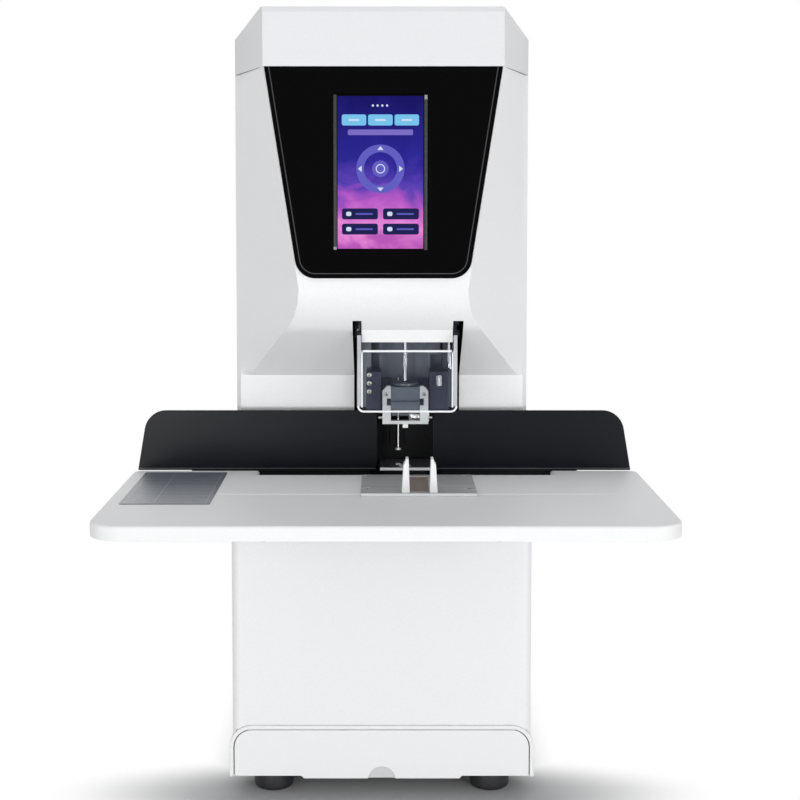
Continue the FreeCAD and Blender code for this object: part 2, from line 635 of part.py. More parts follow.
# -------------------------------------------------------------------------- table
def build_table():
    """Worktable: rounded slab with a wide recess behind and a slightly raised rear band."""
    x0, x1 = S.table_shift - S.table_width / 2, S.table_shift + S.table_width / 2
    slab = box((x0, x1), (table_front, table_rear), (table_low, table_top))
    slab = rounded(slab, S.table_corner,
                   lambda e: along(e, "z") and near(middle(e).y, table_front))
    slab = rounded(slab, S.table_rear_corner,
                   lambda e: along(e, "z") and near(middle(e).y, table_rear))
    recess = box((S.axis_x - S.recess_width / 2, S.axis_x + S.recess_width / 2),
                 (table_rear - S.recess_depth, table_rear + 1),
                 (table_low - 1, table_top + 1))
    slab = cut(slab, recess)
    slab = rounded(slab, 2.2, lambda e: near(middle(e).z, table_top)
                   and middle(e).y < table_rear.value - 8)
    label_x = x0 + S.label_inset
    plate_x = S.table_shift + S.plate_shift
    half = S.plate_width / 2
    strip = box((label_x + S.label_width + 1, S.table_shift + S.strip_reach),
                (strip_front, table_rear - S.recess_depth),
                (table_top - 3, table_top + S.strip_raise))
    seat = box((plate_x - half, plate_x + half), (plate_front, plate_rear),
               (table_top, table_top + 2))
    node("worktable", cut(fuse(slab, strip), seat))
    plate = box((plate_x - half, plate_x + half), (plate_front, plate_rear),
                (table_top, table_top + S.plate_thick))
    slot_x = plate_x + 0.5
    window = box((slot_x - S.insert_width / 2, slot_x + S.insert_width / 2),
                 (plate_front + 8, plate_rear - 7),
                 (table_top - 1, table_top + S.plate_thick + 1))
    screw_spots = [(plate_x + sx * (half - 4.5), y)
                   for sx in (-1, 1) for y in (plate_rear - 4.5, plate_front + 18)]
    sinks = [stud(spot, 3.6, (table_top + S.plate_thick - 1.8, table_top + S.plate_thick + 1))
             for spot in screw_spots]
    node("table_plate", cut(plate, window, *sinks))
    heads = [stud(spot, 3.4, (table_top + S.plate_thick - 1.8, table_top + S.plate_thick - 0.1))
             for spot in screw_spots]
    node("plate_screws", group(*heads))
    node("plate_insert", box((slot_x - S.insert_width / 2, slot_x + S.insert_width / 2),
                             (plate_front + 8, plate_rear - 7),
                             (table_top, table_top + S.plate_thick - 0.5)))
    fingers = []
    base = table_top + S.plate_thick
    top = base + S.finger_height
    for sign in (-1, 1):
        inner = slot_x + sign * S.finger_gap / 2
        outline = [(inner, base), (inner + sign * S.finger_thick, base),
                   (inner + sign * (S.finger_top + 1.0), top - 4),
                   (inner + sign * S.finger_top, top - 3.2),
                   (inner + sign * (S.finger_top - 0.8), top), (inner + sign * 0.9, top)]
        if sign < 0:
            outline.reverse()
        fingers.append(prism("xz", (plate_front + 0.4, plate_front + S.finger_depth), outline))
    node("guide_fingers", group(*fingers))
    node("label_plate", box((label_x, label_x + S.label_width),
                            (table_rear - S.label_rear - S.label_length,
                             table_rear - S.label_rear),
                            (table_top, table_top + 0.5)))
    rail_half = S.table_travel + S.block_reach + S.block_length / 2 + 13
    rails = [box((S.table_shift - rail_half, S.table_shift + rail_half),
                 (y - S.rail_size / 2, y + S.rail_size / 2), (rail_low, table_low))
             for y in (rail_rear_y, rail_front_y)]
    node("table_rails", group(*rails))


def build_console():
    """Fixed shelf under the table on two gussets, with four bearing blocks on it."""
    low, high = console_top - S.console_sheet, console_top
    front = rail_front_y - S.block_width / 2 - 4
    rear = rail_rear_y + S.block_width / 2 + 4
    shelf = box((-S.console_half, S.console_half), (front, rear), (low, high))
    step = table_low - S.rail_lift - S.rail_height - 6
    gussets, feet = [], []
    for x0 in (-S.console_half + 9, S.console_half - 12):
        gussets.append(prism("yz", (x0, x0 + 3),
                             [(cabinet_front, console_foot), (cabinet_front, step), (rear, step),
                              (rear, low + 1), (front + 3, low + 1), (front + 3, low - 1)]))
        feet.append(box((x0 - 8, x0 + 11), (cabinet_front - 3, cabinet_front), (console_foot, step)))
    node("table_console", fuse(shelf, *gussets, *feet))
    blocks = []
    gap = S.running_gap
    for y in (rail_rear_y, rail_front_y):
        for x in (-S.block_reach, S.block_reach):
            body = box((x - S.block_length / 2, x + S.block_length / 2),
                       (y - S.block_width / 2, y + S.block_width / 2), (high, high + S.block_height))
            groove = box((x - S.block_length / 2 - 1, x + S.block_length / 2 + 1),
                         (y - S.rail_size / 2 - gap, y + S.rail_size / 2 + gap),
                         (rail_low - gap, high + S.block_height + 1))
            blocks.append(cut(body, groove))
    node("bearing_blocks", group(*blocks))


def involute_profile(teeth, module, pressure, backlash):
    """Corner points of a spur gear's outline, involute flanks taken at three radii each."""
    pitch = module * teeth / 2
    base = pitch * math.cos(pressure)
    tip, root = pitch + module, pitch - 1.25 * module
    half = math.pi / (2 * teeth) - backlash / (2 * pitch)
    offset = half + math.tan(pressure) - pressure

    def flank(radius):
        spread = math.acos(base / radius)
        return offset - (math.tan(spread) - spread)

    points = []
    low = max(base, root) + 0.001
    radii = [low + (tip - low) * k / 2 for k in range(3)]
    for tooth in range(teeth):
        centre = 2 * math.pi * tooth / teeth
        points.append((root, centre - flank(low)))
        points += [(r, centre - flank(r)) for r in radii]
        points += [(r, centre + flank(r)) for r in reversed(radii)]
        points.append((root, centre + flank(low)))
    return points


def build_table_drive():
    """Stepper motor in the cabinet, its pinion above the ledge and the rack under the table."""
    teeth = int(round(S.gear_teeth.value))
    pressure = math.radians(S.pressure_angle.value)
    module = S.gear_module.value
    low = S.ledge_height + 9
    cx, cy = S.pinion_x.value, pinion_y.value
    # a tooth points straight at the rack, whose space lies opposite it
    ring = [FreeCAD.Vector(cx + r * math.sin(a), cy - r * math.cos(a), low.value)
            for r, a in involute_profile(teeth, module, pressure, S.backlash.value)]
    gear = Part.Face(Part.makePolygon(ring + ring[:1])).extrude(
        FreeCAD.Vector(0, 0, S.gear_width.value))
    shape = doc.addObject("Part::Feature", fresh("teeth"))
    shape.Shape = gear
    hub = cylinder((S.pinion_x, pinion_y), 7.0, (low - 5, low + 1))
    shaft = cylinder((S.pinion_x, pinion_y), 2.5, (S.ledge_height - 40, low + S.gear_width))
    node("drive_pinion", fuse(shape, hub, shaft))
    motor_top = S.ledge_height - S.cabinet_wall - 1
    half = S.stepper_half
    can = box((S.pinion_x - half, S.pinion_x + half), (pinion_y - half, pinion_y + half),
              (motor_top - 40, motor_top))
    can = rounded(can, 4.0, lambda e: along(e, "z"))
    bore = cylinder((S.pinion_x, pinion_y), 2.8, (motor_top - 41, motor_top + 1))
    seats = [stud((S.pinion_x + dx, pinion_y + dy), 2.5,
                 (motor_top - 0.5, S.ledge_height - S.cabinet_wall))
             for dx in (4 - half, half - 4) for dy in (4 - half, half - 4)]
    node("table_motor", cut(fuse(can, *seats), bore))
    # rack: straight-flanked teeth facing the pinion
    pitch = math.pi * module
    slope = math.tan(pressure)
    thick = math.pi * module / 4 - S.backlash.value / 4
    face = rack_pitch_y.value
    count = int((S.table_travel.value + 12) * 2 / pitch)
    start = cx - (count // 2) * pitch - pitch / 2
    back = face - 1.25 * module - S.rack_back.value
    outline = [FreeCAD.Vector(start - pitch / 2, back, 0)]
    for k in range(count + 1):
        x = start + k * pitch
        outline += [FreeCAD.Vector(x - thick - 1.25 * module * slope, face - 1.25 * module, 0),
                    FreeCAD.Vector(x - thick + 0.9 * module * slope, face + 0.9 * module, 0),
                    FreeCAD.Vector(x + thick - 0.9 * module * slope, face + 0.9 * module, 0),
                    FreeCAD.Vector(x + thick + 1.25 * module * slope, face - 1.25 * module, 0)]
    outline.append(FreeCAD.Vector(start + count * pitch + pitch / 2, back, 0))
    rack_low = low.value
    blank = Part.Face(Part.makePolygon(outline + outline[:1]))
    blank.translate(FreeCAD.Vector(0, 0, rack_low))
    rack = doc.addObject("Part::Feature", fresh("rack"))
    rack.Shape = blank.extrude(FreeCAD.Vector(0, 0, table_low.value - rack_low))
    node("table_rack", rack)


def build_fence():
    """Dark back fence in two halves, standing on brackets from the column."""
    low, high = fence_low, fence_top
    back = fence_front + S.fence_thick
    halves, mounts = [], []
    for sign in (-1, 1):
        edge = S.axis_x + sign * S.gap_half
        end = S.fence_shift + sign * S.fence_half
        outline = [(edge, low), (end, low), (end - sign * S.fence_taper, high), (edge, high)]
        if sign < 0:
            outline.reverse()
        leaf = prism("xz", (fence_front, back), outline)
        outer = end - sign * S.fence_taper
        leaf = rounded(leaf, S.fence_corner,
                       lambda e: along(e, "y") and near(middle(e).z, high)
                       and near(middle(e).x, outer))
        halves.append(leaf)
        # a bar behind the foot of each half, held off the column by two spacers
        near_end, far_end = S.axis_x + sign * (S.gap_half + 6), S.fence_shift + sign * 150
        x0, x1 = (far_end, near_end) if sign < 0 else (near_end, far_end)
        parts = [box((x0, x1), (back, back + S.fence_thick), (fence_low - 11, fence_low + 8))]
        for x in (72.0, 98.0):
            spot = S.fence_shift + sign * x
            parts.append(box((spot - 7, spot + 7), (back, band_front), (fence_low - 8, fence_low + 36)))
        mounts.append(fuse(*parts))
    node("back_fence", group(*halves))
    node("fence_brackets", group(*mounts))


# ----------------------------------------------------------------- frame and bed
def build_frame():
    """Spine plate on the chassis with side cheeks, a top bracket and the guide rail."""
    half = S.spine_half
    plate = box((S.axis_x - half, S.axis_x + half), (spine_front, spine_y),
                (bridge_top, spine_top))
    cheeks = [box((x0, x0 + 5), (spine_y, spine_y + 60), (bridge_top, spine_top))
              for x0 in (S.axis_x - half, S.axis_x + half - 5)]
    top = box((S.axis_x - half, S.axis_x + half), (screw_y - 44, spine_front + 1),
              (spine_top - 14, spine_top - 8))
    holes = [cylinder(spot, radius + 0.5, (spine_top - 15, spine_top - 7))
             for spot, radius in ((drill_screw_spot, S.screw_radius),
                                  (press_screw_spot, S.press_screw_radius))]
    node("frame_spine", cut(fuse(plate, *cheeks, top), *holes))
    node("guide_rail", box((S.axis_x - S.guide_rail_width / 2, S.axis_x + S.guide_rail_width / 2),
                           (rail_front, spine_front), (presser_low + 0.2, spine_top - 30)))
    arm_top = bed_top - S.bed_thick
    arm_foot = S.ledge_height - 92
    arm = prism("yz", (S.axis_x - S.arm_half, S.axis_x + S.arm_half),
                [(spine_front, arm_foot), (spine_front, arm_top), (bed_front + 1.5, arm_top),
                 (bed_front + 1.5, arm_top - 22), (column_front + 4, arm_top - 60),
                 (column_front + 4, arm_foot)])
    pad_pocket = cylinder((S.axis_x, axis_y), S.pad_radius + 0.1, (arm_top - 4, arm_top + 1))
    die_pocket = cylinder(needle_spot, S.die_radius + 0.1, (arm_top - 20, arm_top + 1))
    node("anvil_arm", cut(arm, pad_pocket, die_pocket))


def build_bed():
    """Bed plate with the drill pad and the lower riveting die let into it."""
    low, high = bed_top - S.bed_thick, bed_top
    plate = box((S.axis_x - S.bed_half, S.axis_x + S.bed_half), (bed_front, bed_rear),
                (low, high))
    pad_hole = cylinder((S.axis_x, axis_y), S.pad_radius, (low - 1, high + 1))
    die_hole = cylinder(needle_spot, S.die_radius, (low - 1, high + 1))
    node("bed_plate", cut(plate, pad_hole, die_hole))
    node("drill_pad", cylinder((S.axis_x, axis_y), S.pad_radius - 0.1, (low - 4, high + 0.3)))
    die = cylinder(needle_spot, S.die_radius - 0.1, (low - 14, high + 0.4))
    bore = cylinder(needle_spot, S.needle_tip_radius + S.running_gap, (low - 15, high + 1))
    node("lower_die", cut(die, bore))


# ------------------------------------------------------------------ drill unit
def lift_motor(spot, shaft_radius):
    """Square motor over the top bracket, with a way for the screw that it turns."""
    x, y = spot
    low = spine_top - 8
    can = box((x - 15, x + 15), (y - 15, y + 15), (low, low + 36))
    way = cylinder(spot, shaft_radius + S.running_gap, (low - 1, spine_top + 6))
    return cut(can, way)


def build_drill():
    """Carriage on the guide rail with motor, spindle housing, spindle, chuck and hollow bit."""
    ax, ay = S.axis_x, axis_y
    chuck_low = bit_tip + S.bit_length - 16
    chuck_high = chuck_low + S.chuck_length
    housing_low = chuck_high + 3
    housing_high = housing_low + S.housing_length
    gap = S.running_gap
    saddle = box((ax - 18, ax + 18), (rail_front - 12, spine_front - 2.0), (housing_low, housing_high + 12))
    groove = box((ax - S.guide_rail_width / 2 - gap, ax + S.guide_rail_width / 2 + gap),
                 (rail_front - gap, spine_front + 1), (housing_low - 1, housing_high + 13))
    nut_x, nut_y = drill_screw_spot
    nut_arm = box((nut_x - 8, ax - 16), (nut_y - 8, nut_y + 7), (housing_low, housing_low + 16))
    nut_link = box((ax - 24, ax - 16), (nut_y + 4, rail_front), (housing_low, housing_low + 16))
    nut_bore = cylinder(drill_screw_spot, S.screw_radius + gap, (housing_low - 1, housing_low + 17))
    barrel = cylinder((ax, ay), S.housing_radius, (housing_low, housing_high))
    web = box((ax - 9, ax + 9), (ay, rail_front - 11), (housing_low, housing_high))
    bore = cylinder((ax, ay), S.spindle_radius + gap, (housing_low - 1, housing_high + 1))
    node("drill_carriage", cut(fuse(saddle, nut_arm, nut_link, barrel, web), groove, nut_bore, bore))
    shaft = cylinder((ax, ay), S.spindle_radius, (chuck_high - 1, chuck_high + S.spindle_length + 2))
    chuck = stud((ax, ay), S.chuck_radius, (chuck_low + 5, chuck_high), 16)
    jaw = cone((ax, ay), S.bit_radius + 1.6, S.chuck_radius, (chuck_low, chuck_low + 5))
    socket = cylinder((ax, ay), S.bit_radius, (chuck_low - 1, chuck_low + 16))
    node("drill_spindle", cut(fuse(shaft, chuck, jaw), socket))
    tube = cylinder((ax, ay), S.bit_radius, (bit_tip, bit_tip + S.bit_length))
    bit_bore = cylinder((ax, ay), S.bit_bore, (bit_tip - 1, bit_tip + S.bit_length + 1))
    node("drill_bit", cut(tube, bit_bore))
    motor_low = chuck_high + S.spindle_length + 3
    can = cylinder((ax, ay), S.drill_motor_radius, (motor_low, spine_top - 14 - S.drill_motor_gap))
    flange = box((ax - 19, ax + 19), (ay - 19, rail_front - 12), (motor_low, motor_low + 4))
    node("drill_motor", fuse(can, flange))
    node("drill_feed_screw", cylinder(drill_screw_spot, S.screw_radius, (band_top + 31, spine_top + 4)))
    node("drill_feed_motor", lift_motor(drill_screw_spot, S.screw_radius))


# ------------------------------------------------------------------ press unit
def build_press():
    """Press carriage and everything that goes down onto the stack with it."""
    ax, ay = S.axis_x, axis_y
    gap = S.running_gap
    low, high = presser_low, presser_high
    front = presser_front
    saddle_low, saddle_high = high + 2, high + 34
    saddle = box((ax - 20, ax + 20), (rail_front - 7, spine_front - 2.0), (saddle_low, saddle_high))
    groove = box((ax - S.guide_rail_width / 2 - gap, ax + S.guide_rail_width / 2 + gap),
                 (rail_front - gap, spine_front + 1), (saddle_low - 1, saddle_high + 1))
    hanger = box((ax - 10, ax + 10), (rail_front - 7, rail_front - 2), (low + 8, saddle_low + 1))
    nut_x, nut_y = press_screw_spot
    nut_low, nut_high = saddle_high + 11, saddle_high + 25
    foot_link = box((ax + 14, ax + 28), (rail_front - 7, rail_front + 3), (saddle_high - 14, saddle_high))
    bar = box((ax + 20, ax + 28), (rail_front - 7, rail_front + 3), (saddle_high - 14, nut_high))
    nut_arm = box((ax + 20, nut_x + 7), (nut_y - 8, nut_y + 7), (nut_low, nut_high))
    nut_link = box((ax + 20, ax + 28), (nut_y + 6, rail_front + 3), (nut_low, nut_high))
    nut_bore = cylinder(press_screw_spot, S.press_screw_radius + gap, (nut_low - 1, nut_high + 1))
    node("press_carriage", cut(fuse(saddle, hanger, foot_link, bar, nut_arm, nut_link), groove, nut_bore))
    leg = S.presser_leg
    half = S.presser_half
    body = box((ax - half + leg, ax + half - leg), (front + 1.2, rail_front - 7.0), (low + 8.5, high - 0.8))
    way = cylinder((ax, ay), S.bit_radius + S.bit_clearance, (low, high + 1))
    step = box((ax - half + leg - 1, ax + half - leg + 1), (front, front + 3.0), (low + 17, low + 18.2))
    needle_way = cylinder(needle_spot, S.needle_tip_radius + 0.4, (low, high + 1))
    node("presser_block", cut(body, way, step, needle_way))
    disc = cylinder((ax, ay), S.disc_radius, (high - 0.8, high - 0.8 + S.disc_thick))
    disc_hole = cylinder((ax, ay), S.bit_radius + S.disc_clearance, (high - 2, high + 4))
    disc_needle = cylinder(needle_spot, S.needle_head + gap, (high - 2, high + 4))
    node("press_disc", cut(disc, disc_hole, disc_needle))
    # U bracket: two notched legs with bevelled shoulders and a bar between their feet
    notch_low, notch_high = low + 14.2, low + 19.5
    sides = []
    for sign in (-1, 1):
        outer = ax + sign * half
        inner = ax + sign * (half - leg)
        outline = [(outer, low), (outer, high - 4), (outer - sign * 3.4, high), (inner, high),
                   (inner, notch_high), (inner + sign * 3.0, notch_high),
                   (inner + sign * 3.0, notch_low), (inner, notch_low), (inner, low + 2.4), (inner, low)]
        if sign > 0:
            outline.reverse()
        sides.append(prism("xz", (front, front + S.presser_thick), outline))
    bar = box((ax - half + leg - 0.5, ax + half - leg + 0.5), (front, front + S.presser_thick),
              (low, low + 2.4))
    bolt_holes = [stud((ax + sign * (half - 3.1), high - 6.2), 1.35, (front - 1, front + 7), 8, axis="y")
                  for sign in (-1, 1)]
    node("presser_bracket", cut(fuse(*sides, bar), *bolt_holes))
    bolts = []
    for sign in (-1, 1):
        x = ax + sign * (half - 3.1)
        head = stud((x, high - 6.2), 2.1, (front - 1.6, front), axis="y")
        stem = stud((x, high - 6.2), 1.1, (front - 0.5, front + 6), 8, axis="y")
        bolts.append(fuse(head, stem))
    node("bracket_screws", group(*bolts))
    pins = [stud((front + 3.0, z), 1.0, (x0, x0 + 3.0), 8, axis="x")
            for x0, z in ((ax - half - 3.0, low + 9), (ax - half - 3.0, low + 4.6), (ax + half, low + 4.6))]
    nozzle_spot = (ax + S.nozzle_shift, front + S.presser_thick + S.nozzle_radius + 0.4)
    node("knurled_nozzle", cylinder(nozzle_spot, S.nozzle_radius, (low + 0.2, low + 8.5)))
    tip = box((ax - 2, ax + 2), (front + 1, front + 5), (low - 3, low))
    node("bracket_pins", group(*pins, tip))
    node("press_screw", cylinder(press_screw_spot, S.press_screw_radius, (band_top + 6, spine_top + 4)))
    node("press_motor", lift_motor(press_screw_spot, S.press_screw_radius))


def build_needle():
    """Sprung rivet needle with a T tip in the press block, and the feed rods behind it."""
    seat = presser_high - 0.8
    rod = cylinder(needle_spot, S.needle_radius, (needle_tip + 2, seat + 2))
    tip = cylinder(needle_spot, S.needle_tip_radius, (needle_tip, needle_tip + 2.2))
    head = cylinder(needle_spot, S.needle_head, (seat + 0.3, seat + 4.5))
    node("rivet_needle", fuse(rod, tip, head))
    shoe_low = presser_low - 7.5
    shoe = box((S.axis_x - 16, S.axis_x + 2), (spine_front - 10, spine_front), (shoe_low, shoe_low + 5))
    rods = [stud((S.axis_x + across, spine_front - 6), 0.9, (low, shoe_low + 1), 8)
            for across, low in ((-13.5, needle_tip - 1.6), (-8.2, needle_tip - 0.2),
                                (-2.5, needle_tip - 0.2))]
    node("feed_rods", fuse(*rods, shoe))


def build_press_bay():
    """Fixed pieces seen round the presser: backing plates and the two dark blocks."""
    plates = []
    for x0, x1 in ((slot_centre - slot_half + 2, S.axis_x - 26),
                   (S.axis_x + 29.5, slot_centre + slot_half - 2)):
        sheet_plate = box((x0, x1), (rail_front - 9, rail_front - 7.5),
                          (presser_low + 8.2, presser_low + 78.2))
        legs = [box((x0 + 0.5, x1 - 1), (rail_front - 8, spine_front), (z, z + 8))
                for z in (presser_low + 11.2, presser_low + 63.2)]
        plates.append(fuse(sheet_plate, *legs))
    node("backing_plate", group(*plates))
    rear = rail_front - 9
    span = (presser_low + 9.2, presser_low + 38.9)
    left = box((S.axis_x - 29.8, S.axis_x - S.presser_half - 0.8), (rear - 24, rear), span)
    node("terminal_block", left)
    screws = [stud((S.axis_x - 27.5, presser_low + rise), 1.9, (rear - 25.8, rear - 24), axis="y")
              for rise in (36.2, 29.8, 23.4)]
    node("terminal_screws", group(*screws))
    right = box((S.axis_x + S.presser_half + 0.8, S.axis_x + 33.1), (rear - 24, rear), span)
    button = stud((S.axis_x + 25.5, presser_low + 33.2), 2.3, (rear - 31, rear - 23), 16, axis="y")
    node("sensor_block", fuse(right, button))


def build_guard():
    """Clear guard: front panel and two side walls in one moulding, hung on two pivots."""
    x0, x1 = guard_left, guard_right
    y0, y1 = guard_front, guard_front + S.guard_depth
    wall = S.guard_wall
    body = box((x0, x1), (y0, y1), (guard_low, guard_high))
    body = rounded(body, 5.0, lambda e: along(e, "y") and near(middle(e).z, guard_low))
    room = box((x0 + wall, x1 - wall), (y0 + wall, y1 + 1), (guard_low - 1, guard_high + 1))
    mouth = box((x0 + wall, x1 - wall), (y0 - 1, y0 + wall + 1), (guard_panel_top, guard_high + 1))
    rear = prism("yz", (x0 - 1, x1 + 1),
                 [(y0 + 18, guard_high + 1), (y1 - 4, guard_panel_top - 4), (y1 + 1, guard_panel_top - 12),
                  (y1 + 1, guard_high + 1)])
    holes = cylinder((hinge_y, hinge_z), S.pivot_radius + 0.05, (x0 - 1, x1 + 1), axis="x")
    node("clear_guard", cut(body, room, mouth, rear, holes))
    pivots = []
    for sign, face in ((-1, x0), (1, x1)):
        inner = face - sign * wall
        stem = cylinder((hinge_y, hinge_z), S.pivot_radius,
                        (inner - 4.5, face + 0.5) if sign > 0 else (face - 0.5, inner + 4.5),
                        axis="x")
        head = stud((hinge_y, hinge_z), 3.4,
                   (face + 0.3, face + 1.5) if sign > 0 else (face - 1.5, face - 0.3), 16, axis="x")
        pivots.append(fuse(stem, head))
    node("guard_pivots", group(*pivots))


def build_electrics():
    """Supply box and control board behind the spine."""
    y = spine_y + 8
    supply = box((S.axis_x - 50, S.axis_x + 50), (y, y + 38), (bridge_top, bridge_top + 160))
    supply = rounded(supply, 2.0, lambda e: along(e, "z"))
    seat = box((S.axis_x - 40, S.axis_x + 40), (spine_y, y + 1), (bridge_top + 20, bridge_top + 140))
    node("power_supply", fuse(supply, seat))
    low = band_top - 21
    board = box((S.axis_x - 48, S.axis_x + 48), (y + 2, y + 3.6), (low, low + 150))
    posts = [stud((S.axis_x + dx, z), 3.0, (spine_y, y + 2.2), 8, axis="y")
             for dx in (-42, 42) for z in (low + 7, low + 143)]
    chips = [box((S.axis_x + dx, S.axis_x + dx + w), (y + 3.5, y + 3.5 + d), (low + z, low + z + t))
             for dx, w, d, z, t in ((-30, 24, 4, 40, 24), (6, 30, 12, 20, 30), (-36, 18, 18, 90, 40),
                                    (0, 36, 8, 100, 12))]
    node("control_board", fuse(board, *posts, *chips))


for build in (build_chassis, build_feet, build_cabinet, build_arch_rim, build_drawer,
              build_column, build_cap, build_display, build_rear, build_table, build_console,
              build_table_drive, build_fence, build_frame, build_bed, build_drill, build_press,
              build_needle, build_press_bay, build_guard, build_electrics):
    build()

doc.recompute()

for thing in doc.Objects:
    if {"Invalid", "Error"} & set(thing.State):
        raise RuntimeError("%s failed: %s" % (thing.Name, thing.State))
for label, thing in nodes.items():
    if thing.Shape.isNull() or not thing.Shape.isValid() or not thing.Shape.Solids:
        raise RuntimeError("no sound solid in " + label)

os.makedirs("parts", exist_ok=True)
for label, thing in nodes.items():
    thing.Shape.exportStep("parts/%s.step" % label)
    print(label, len(thing.Shape.Solids), "solids", round(thing.Shape.Volume, 1), "mm3")
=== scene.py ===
"""Looks for the document riveting machine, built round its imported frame."""
import bpy
import bmesh
import json
import math
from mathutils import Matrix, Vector

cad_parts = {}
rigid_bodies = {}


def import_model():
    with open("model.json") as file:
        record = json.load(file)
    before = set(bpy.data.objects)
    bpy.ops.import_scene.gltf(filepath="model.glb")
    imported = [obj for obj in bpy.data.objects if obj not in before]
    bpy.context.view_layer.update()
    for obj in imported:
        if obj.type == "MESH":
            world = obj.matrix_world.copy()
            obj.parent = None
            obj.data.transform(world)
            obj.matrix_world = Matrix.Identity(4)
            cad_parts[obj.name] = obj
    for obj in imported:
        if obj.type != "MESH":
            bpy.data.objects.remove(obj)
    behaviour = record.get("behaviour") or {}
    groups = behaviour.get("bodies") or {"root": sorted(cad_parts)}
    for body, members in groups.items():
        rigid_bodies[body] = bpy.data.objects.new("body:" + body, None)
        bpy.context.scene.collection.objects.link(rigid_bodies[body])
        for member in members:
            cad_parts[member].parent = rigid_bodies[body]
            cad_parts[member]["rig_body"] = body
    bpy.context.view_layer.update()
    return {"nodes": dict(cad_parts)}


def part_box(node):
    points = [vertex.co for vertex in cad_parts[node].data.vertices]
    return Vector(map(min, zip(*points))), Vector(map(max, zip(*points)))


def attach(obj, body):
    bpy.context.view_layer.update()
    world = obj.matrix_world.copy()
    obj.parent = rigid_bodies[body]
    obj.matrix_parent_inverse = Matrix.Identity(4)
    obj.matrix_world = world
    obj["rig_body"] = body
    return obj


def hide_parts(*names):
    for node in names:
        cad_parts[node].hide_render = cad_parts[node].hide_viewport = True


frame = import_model()
nodes = frame["nodes"]
BODY_OF = {name: thing["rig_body"] for name, thing in nodes.items()}
MM = 0.001
WHITE = (1.0, 1.0, 1.0)

# camera: lens, sensor and place in millimetres, shift in picture widths, tilt down in degrees
LENS = 69.75
SENSOR = 36.0
SHIFT = (0.02, -0.12)
CAMERA_PLACE = (1.8, -1279.4, 459.0)
CAMERA_DOWN = 3.912
# lamps, all turned to one point: place and size in metres, power in watts
LAMP_TARGET = (0.0, 0.0, 0.3)
LAMPS = {
    "front_left_box": ((-0.95, -2.4, 0.40), (0.9, 0.7), 5.2),
    "front_right_box": ((1.55, -2.0, 0.40), (1.0, 0.7), 9.2),
    "low_left_box": ((-0.65, -2.0, 0.13), (0.7, 0.22), 7.2),
    "low_right_box": ((1.05, -1.9, 0.13), (0.7, 0.22), 6.6),
    "top_box": ((-0.2, -0.8, 2.0), (1.8, 1.4), 4.5),
    "back_box": ((0.0, 2.0, 1.2), (1.6, 1.2), 12.0),
}
# the world's light on the object
WORLD_TINT = (0.88, 0.89, 0.9)
WORLD_LIGHT = 0.57
# the floor: its reach in metres, its colour as it is seen and as it lights the object
FLOOR_REACH = 6.0
FLOOR_SEEN = (0.60, 0.60, 0.605)
FLOOR_LIT = (0.9, 0.9, 0.9)
# shaded patch in front of the object: middle and reach in metres, and the shares of its reach
# between which the shade fades out
SHADE_MIDDLE = (0.0, -0.11)
SHADE_REACH = (0.22, 0.07)
SHADE_STEP = (0.54, 1.2)
# patch round the object that keeps its shadow: middle and half sizes, and the distances past
# its edge between which the shadow fades out, in metres
SHADOW_MIDDLE = (0.0, 0.02, 0.0)
SHADOW_HALF = (0.085, 0.115, 1.0)
SHADOW_STEP = (0.0, 0.06)

# sizes that the nodes' boxes don't give, in millimetres: display panel
PANEL_LOW_HALF = 62.5
PANEL_CORNER = 15.0
# cabinet's foot: arched rim, drawer front with its skirt and finger notch
RIM_BAND = 3.0
RIM_CORNER = 17.0
FACE_CORNER = 13.3
FACE_THICK = 1.6
SKIRT_HALF = 59.5
SKIRT_DROP = 2.1
SKIRT_SLOPE = 2.0
NOTCH_RADIUS = 10.4
NOTCH_SINK = 1.0
# clear guard: height of its flat panel, its side wall and its lower corners
GUARD_PANEL = 46.5
GUARD_WALL = 3.0
GUARD_CORNER = 5.0
# top cap; edges along its joint with the column stay tight
CAP_SHOULDER = 27.0
CAP_CROWN_HALF = 87.5
CAP_FRONT_BEVEL = (4.0, 2.4)
CAP_WALL = 3.0
CAP_EDGE = 1.4
SEAM_EDGE = 0.35
# height of that joint, in metres
SEAM_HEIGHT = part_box("top_cap")[0].z
# how far the painted highlight lines on lit edges stand proud of their faces
PROUD = 0.05
# heights that the dark steel behind the presser closes
BACKING_LEVELS = (296.0, 370.0)


# ---------- shader helpers
def add_node(tree, kind, sockets=None, **settings):
    """A shader node with its settings, and its sockets by name or number."""
    node = tree.nodes.new(kind)
    for key, value in settings.items():
        setattr(node, key, value)
    for key, value in (sockets or {}).items():
        node.inputs[key].default_value = value
    return node


def chain(tree, start, *steps):
    """Nodes linked one after another, first output to first input; gives the last output."""
    for step in steps:
        tree.links.new(start, step.inputs[0])
        start = step.outputs[0]
    return start


def arithmetic(tree, operation, first, second):
    """Two outputs joined by an operation; gives the result."""
    node = add_node(tree, "ShaderNodeMath", operation=operation)
    tree.links.new(first, node.inputs[0])
    tree.links.new(second, node.inputs[1])
    return node.outputs[0]


def soft_step(tree, vector, low, high):
    """0 where a vector is shorter than low, 1 where it is longer than high, smooth between."""
    length = add_node(tree, "ShaderNodeVectorMath", operation="LENGTH")
    tree.links.new(vector, length.inputs[0])
    step = add_node(tree, "ShaderNodeMapRange", {"From Min": low, "From Max": high},
                    interpolation_type="SMOOTHSTEP")
    return chain(tree, length.outputs["Value"], step)


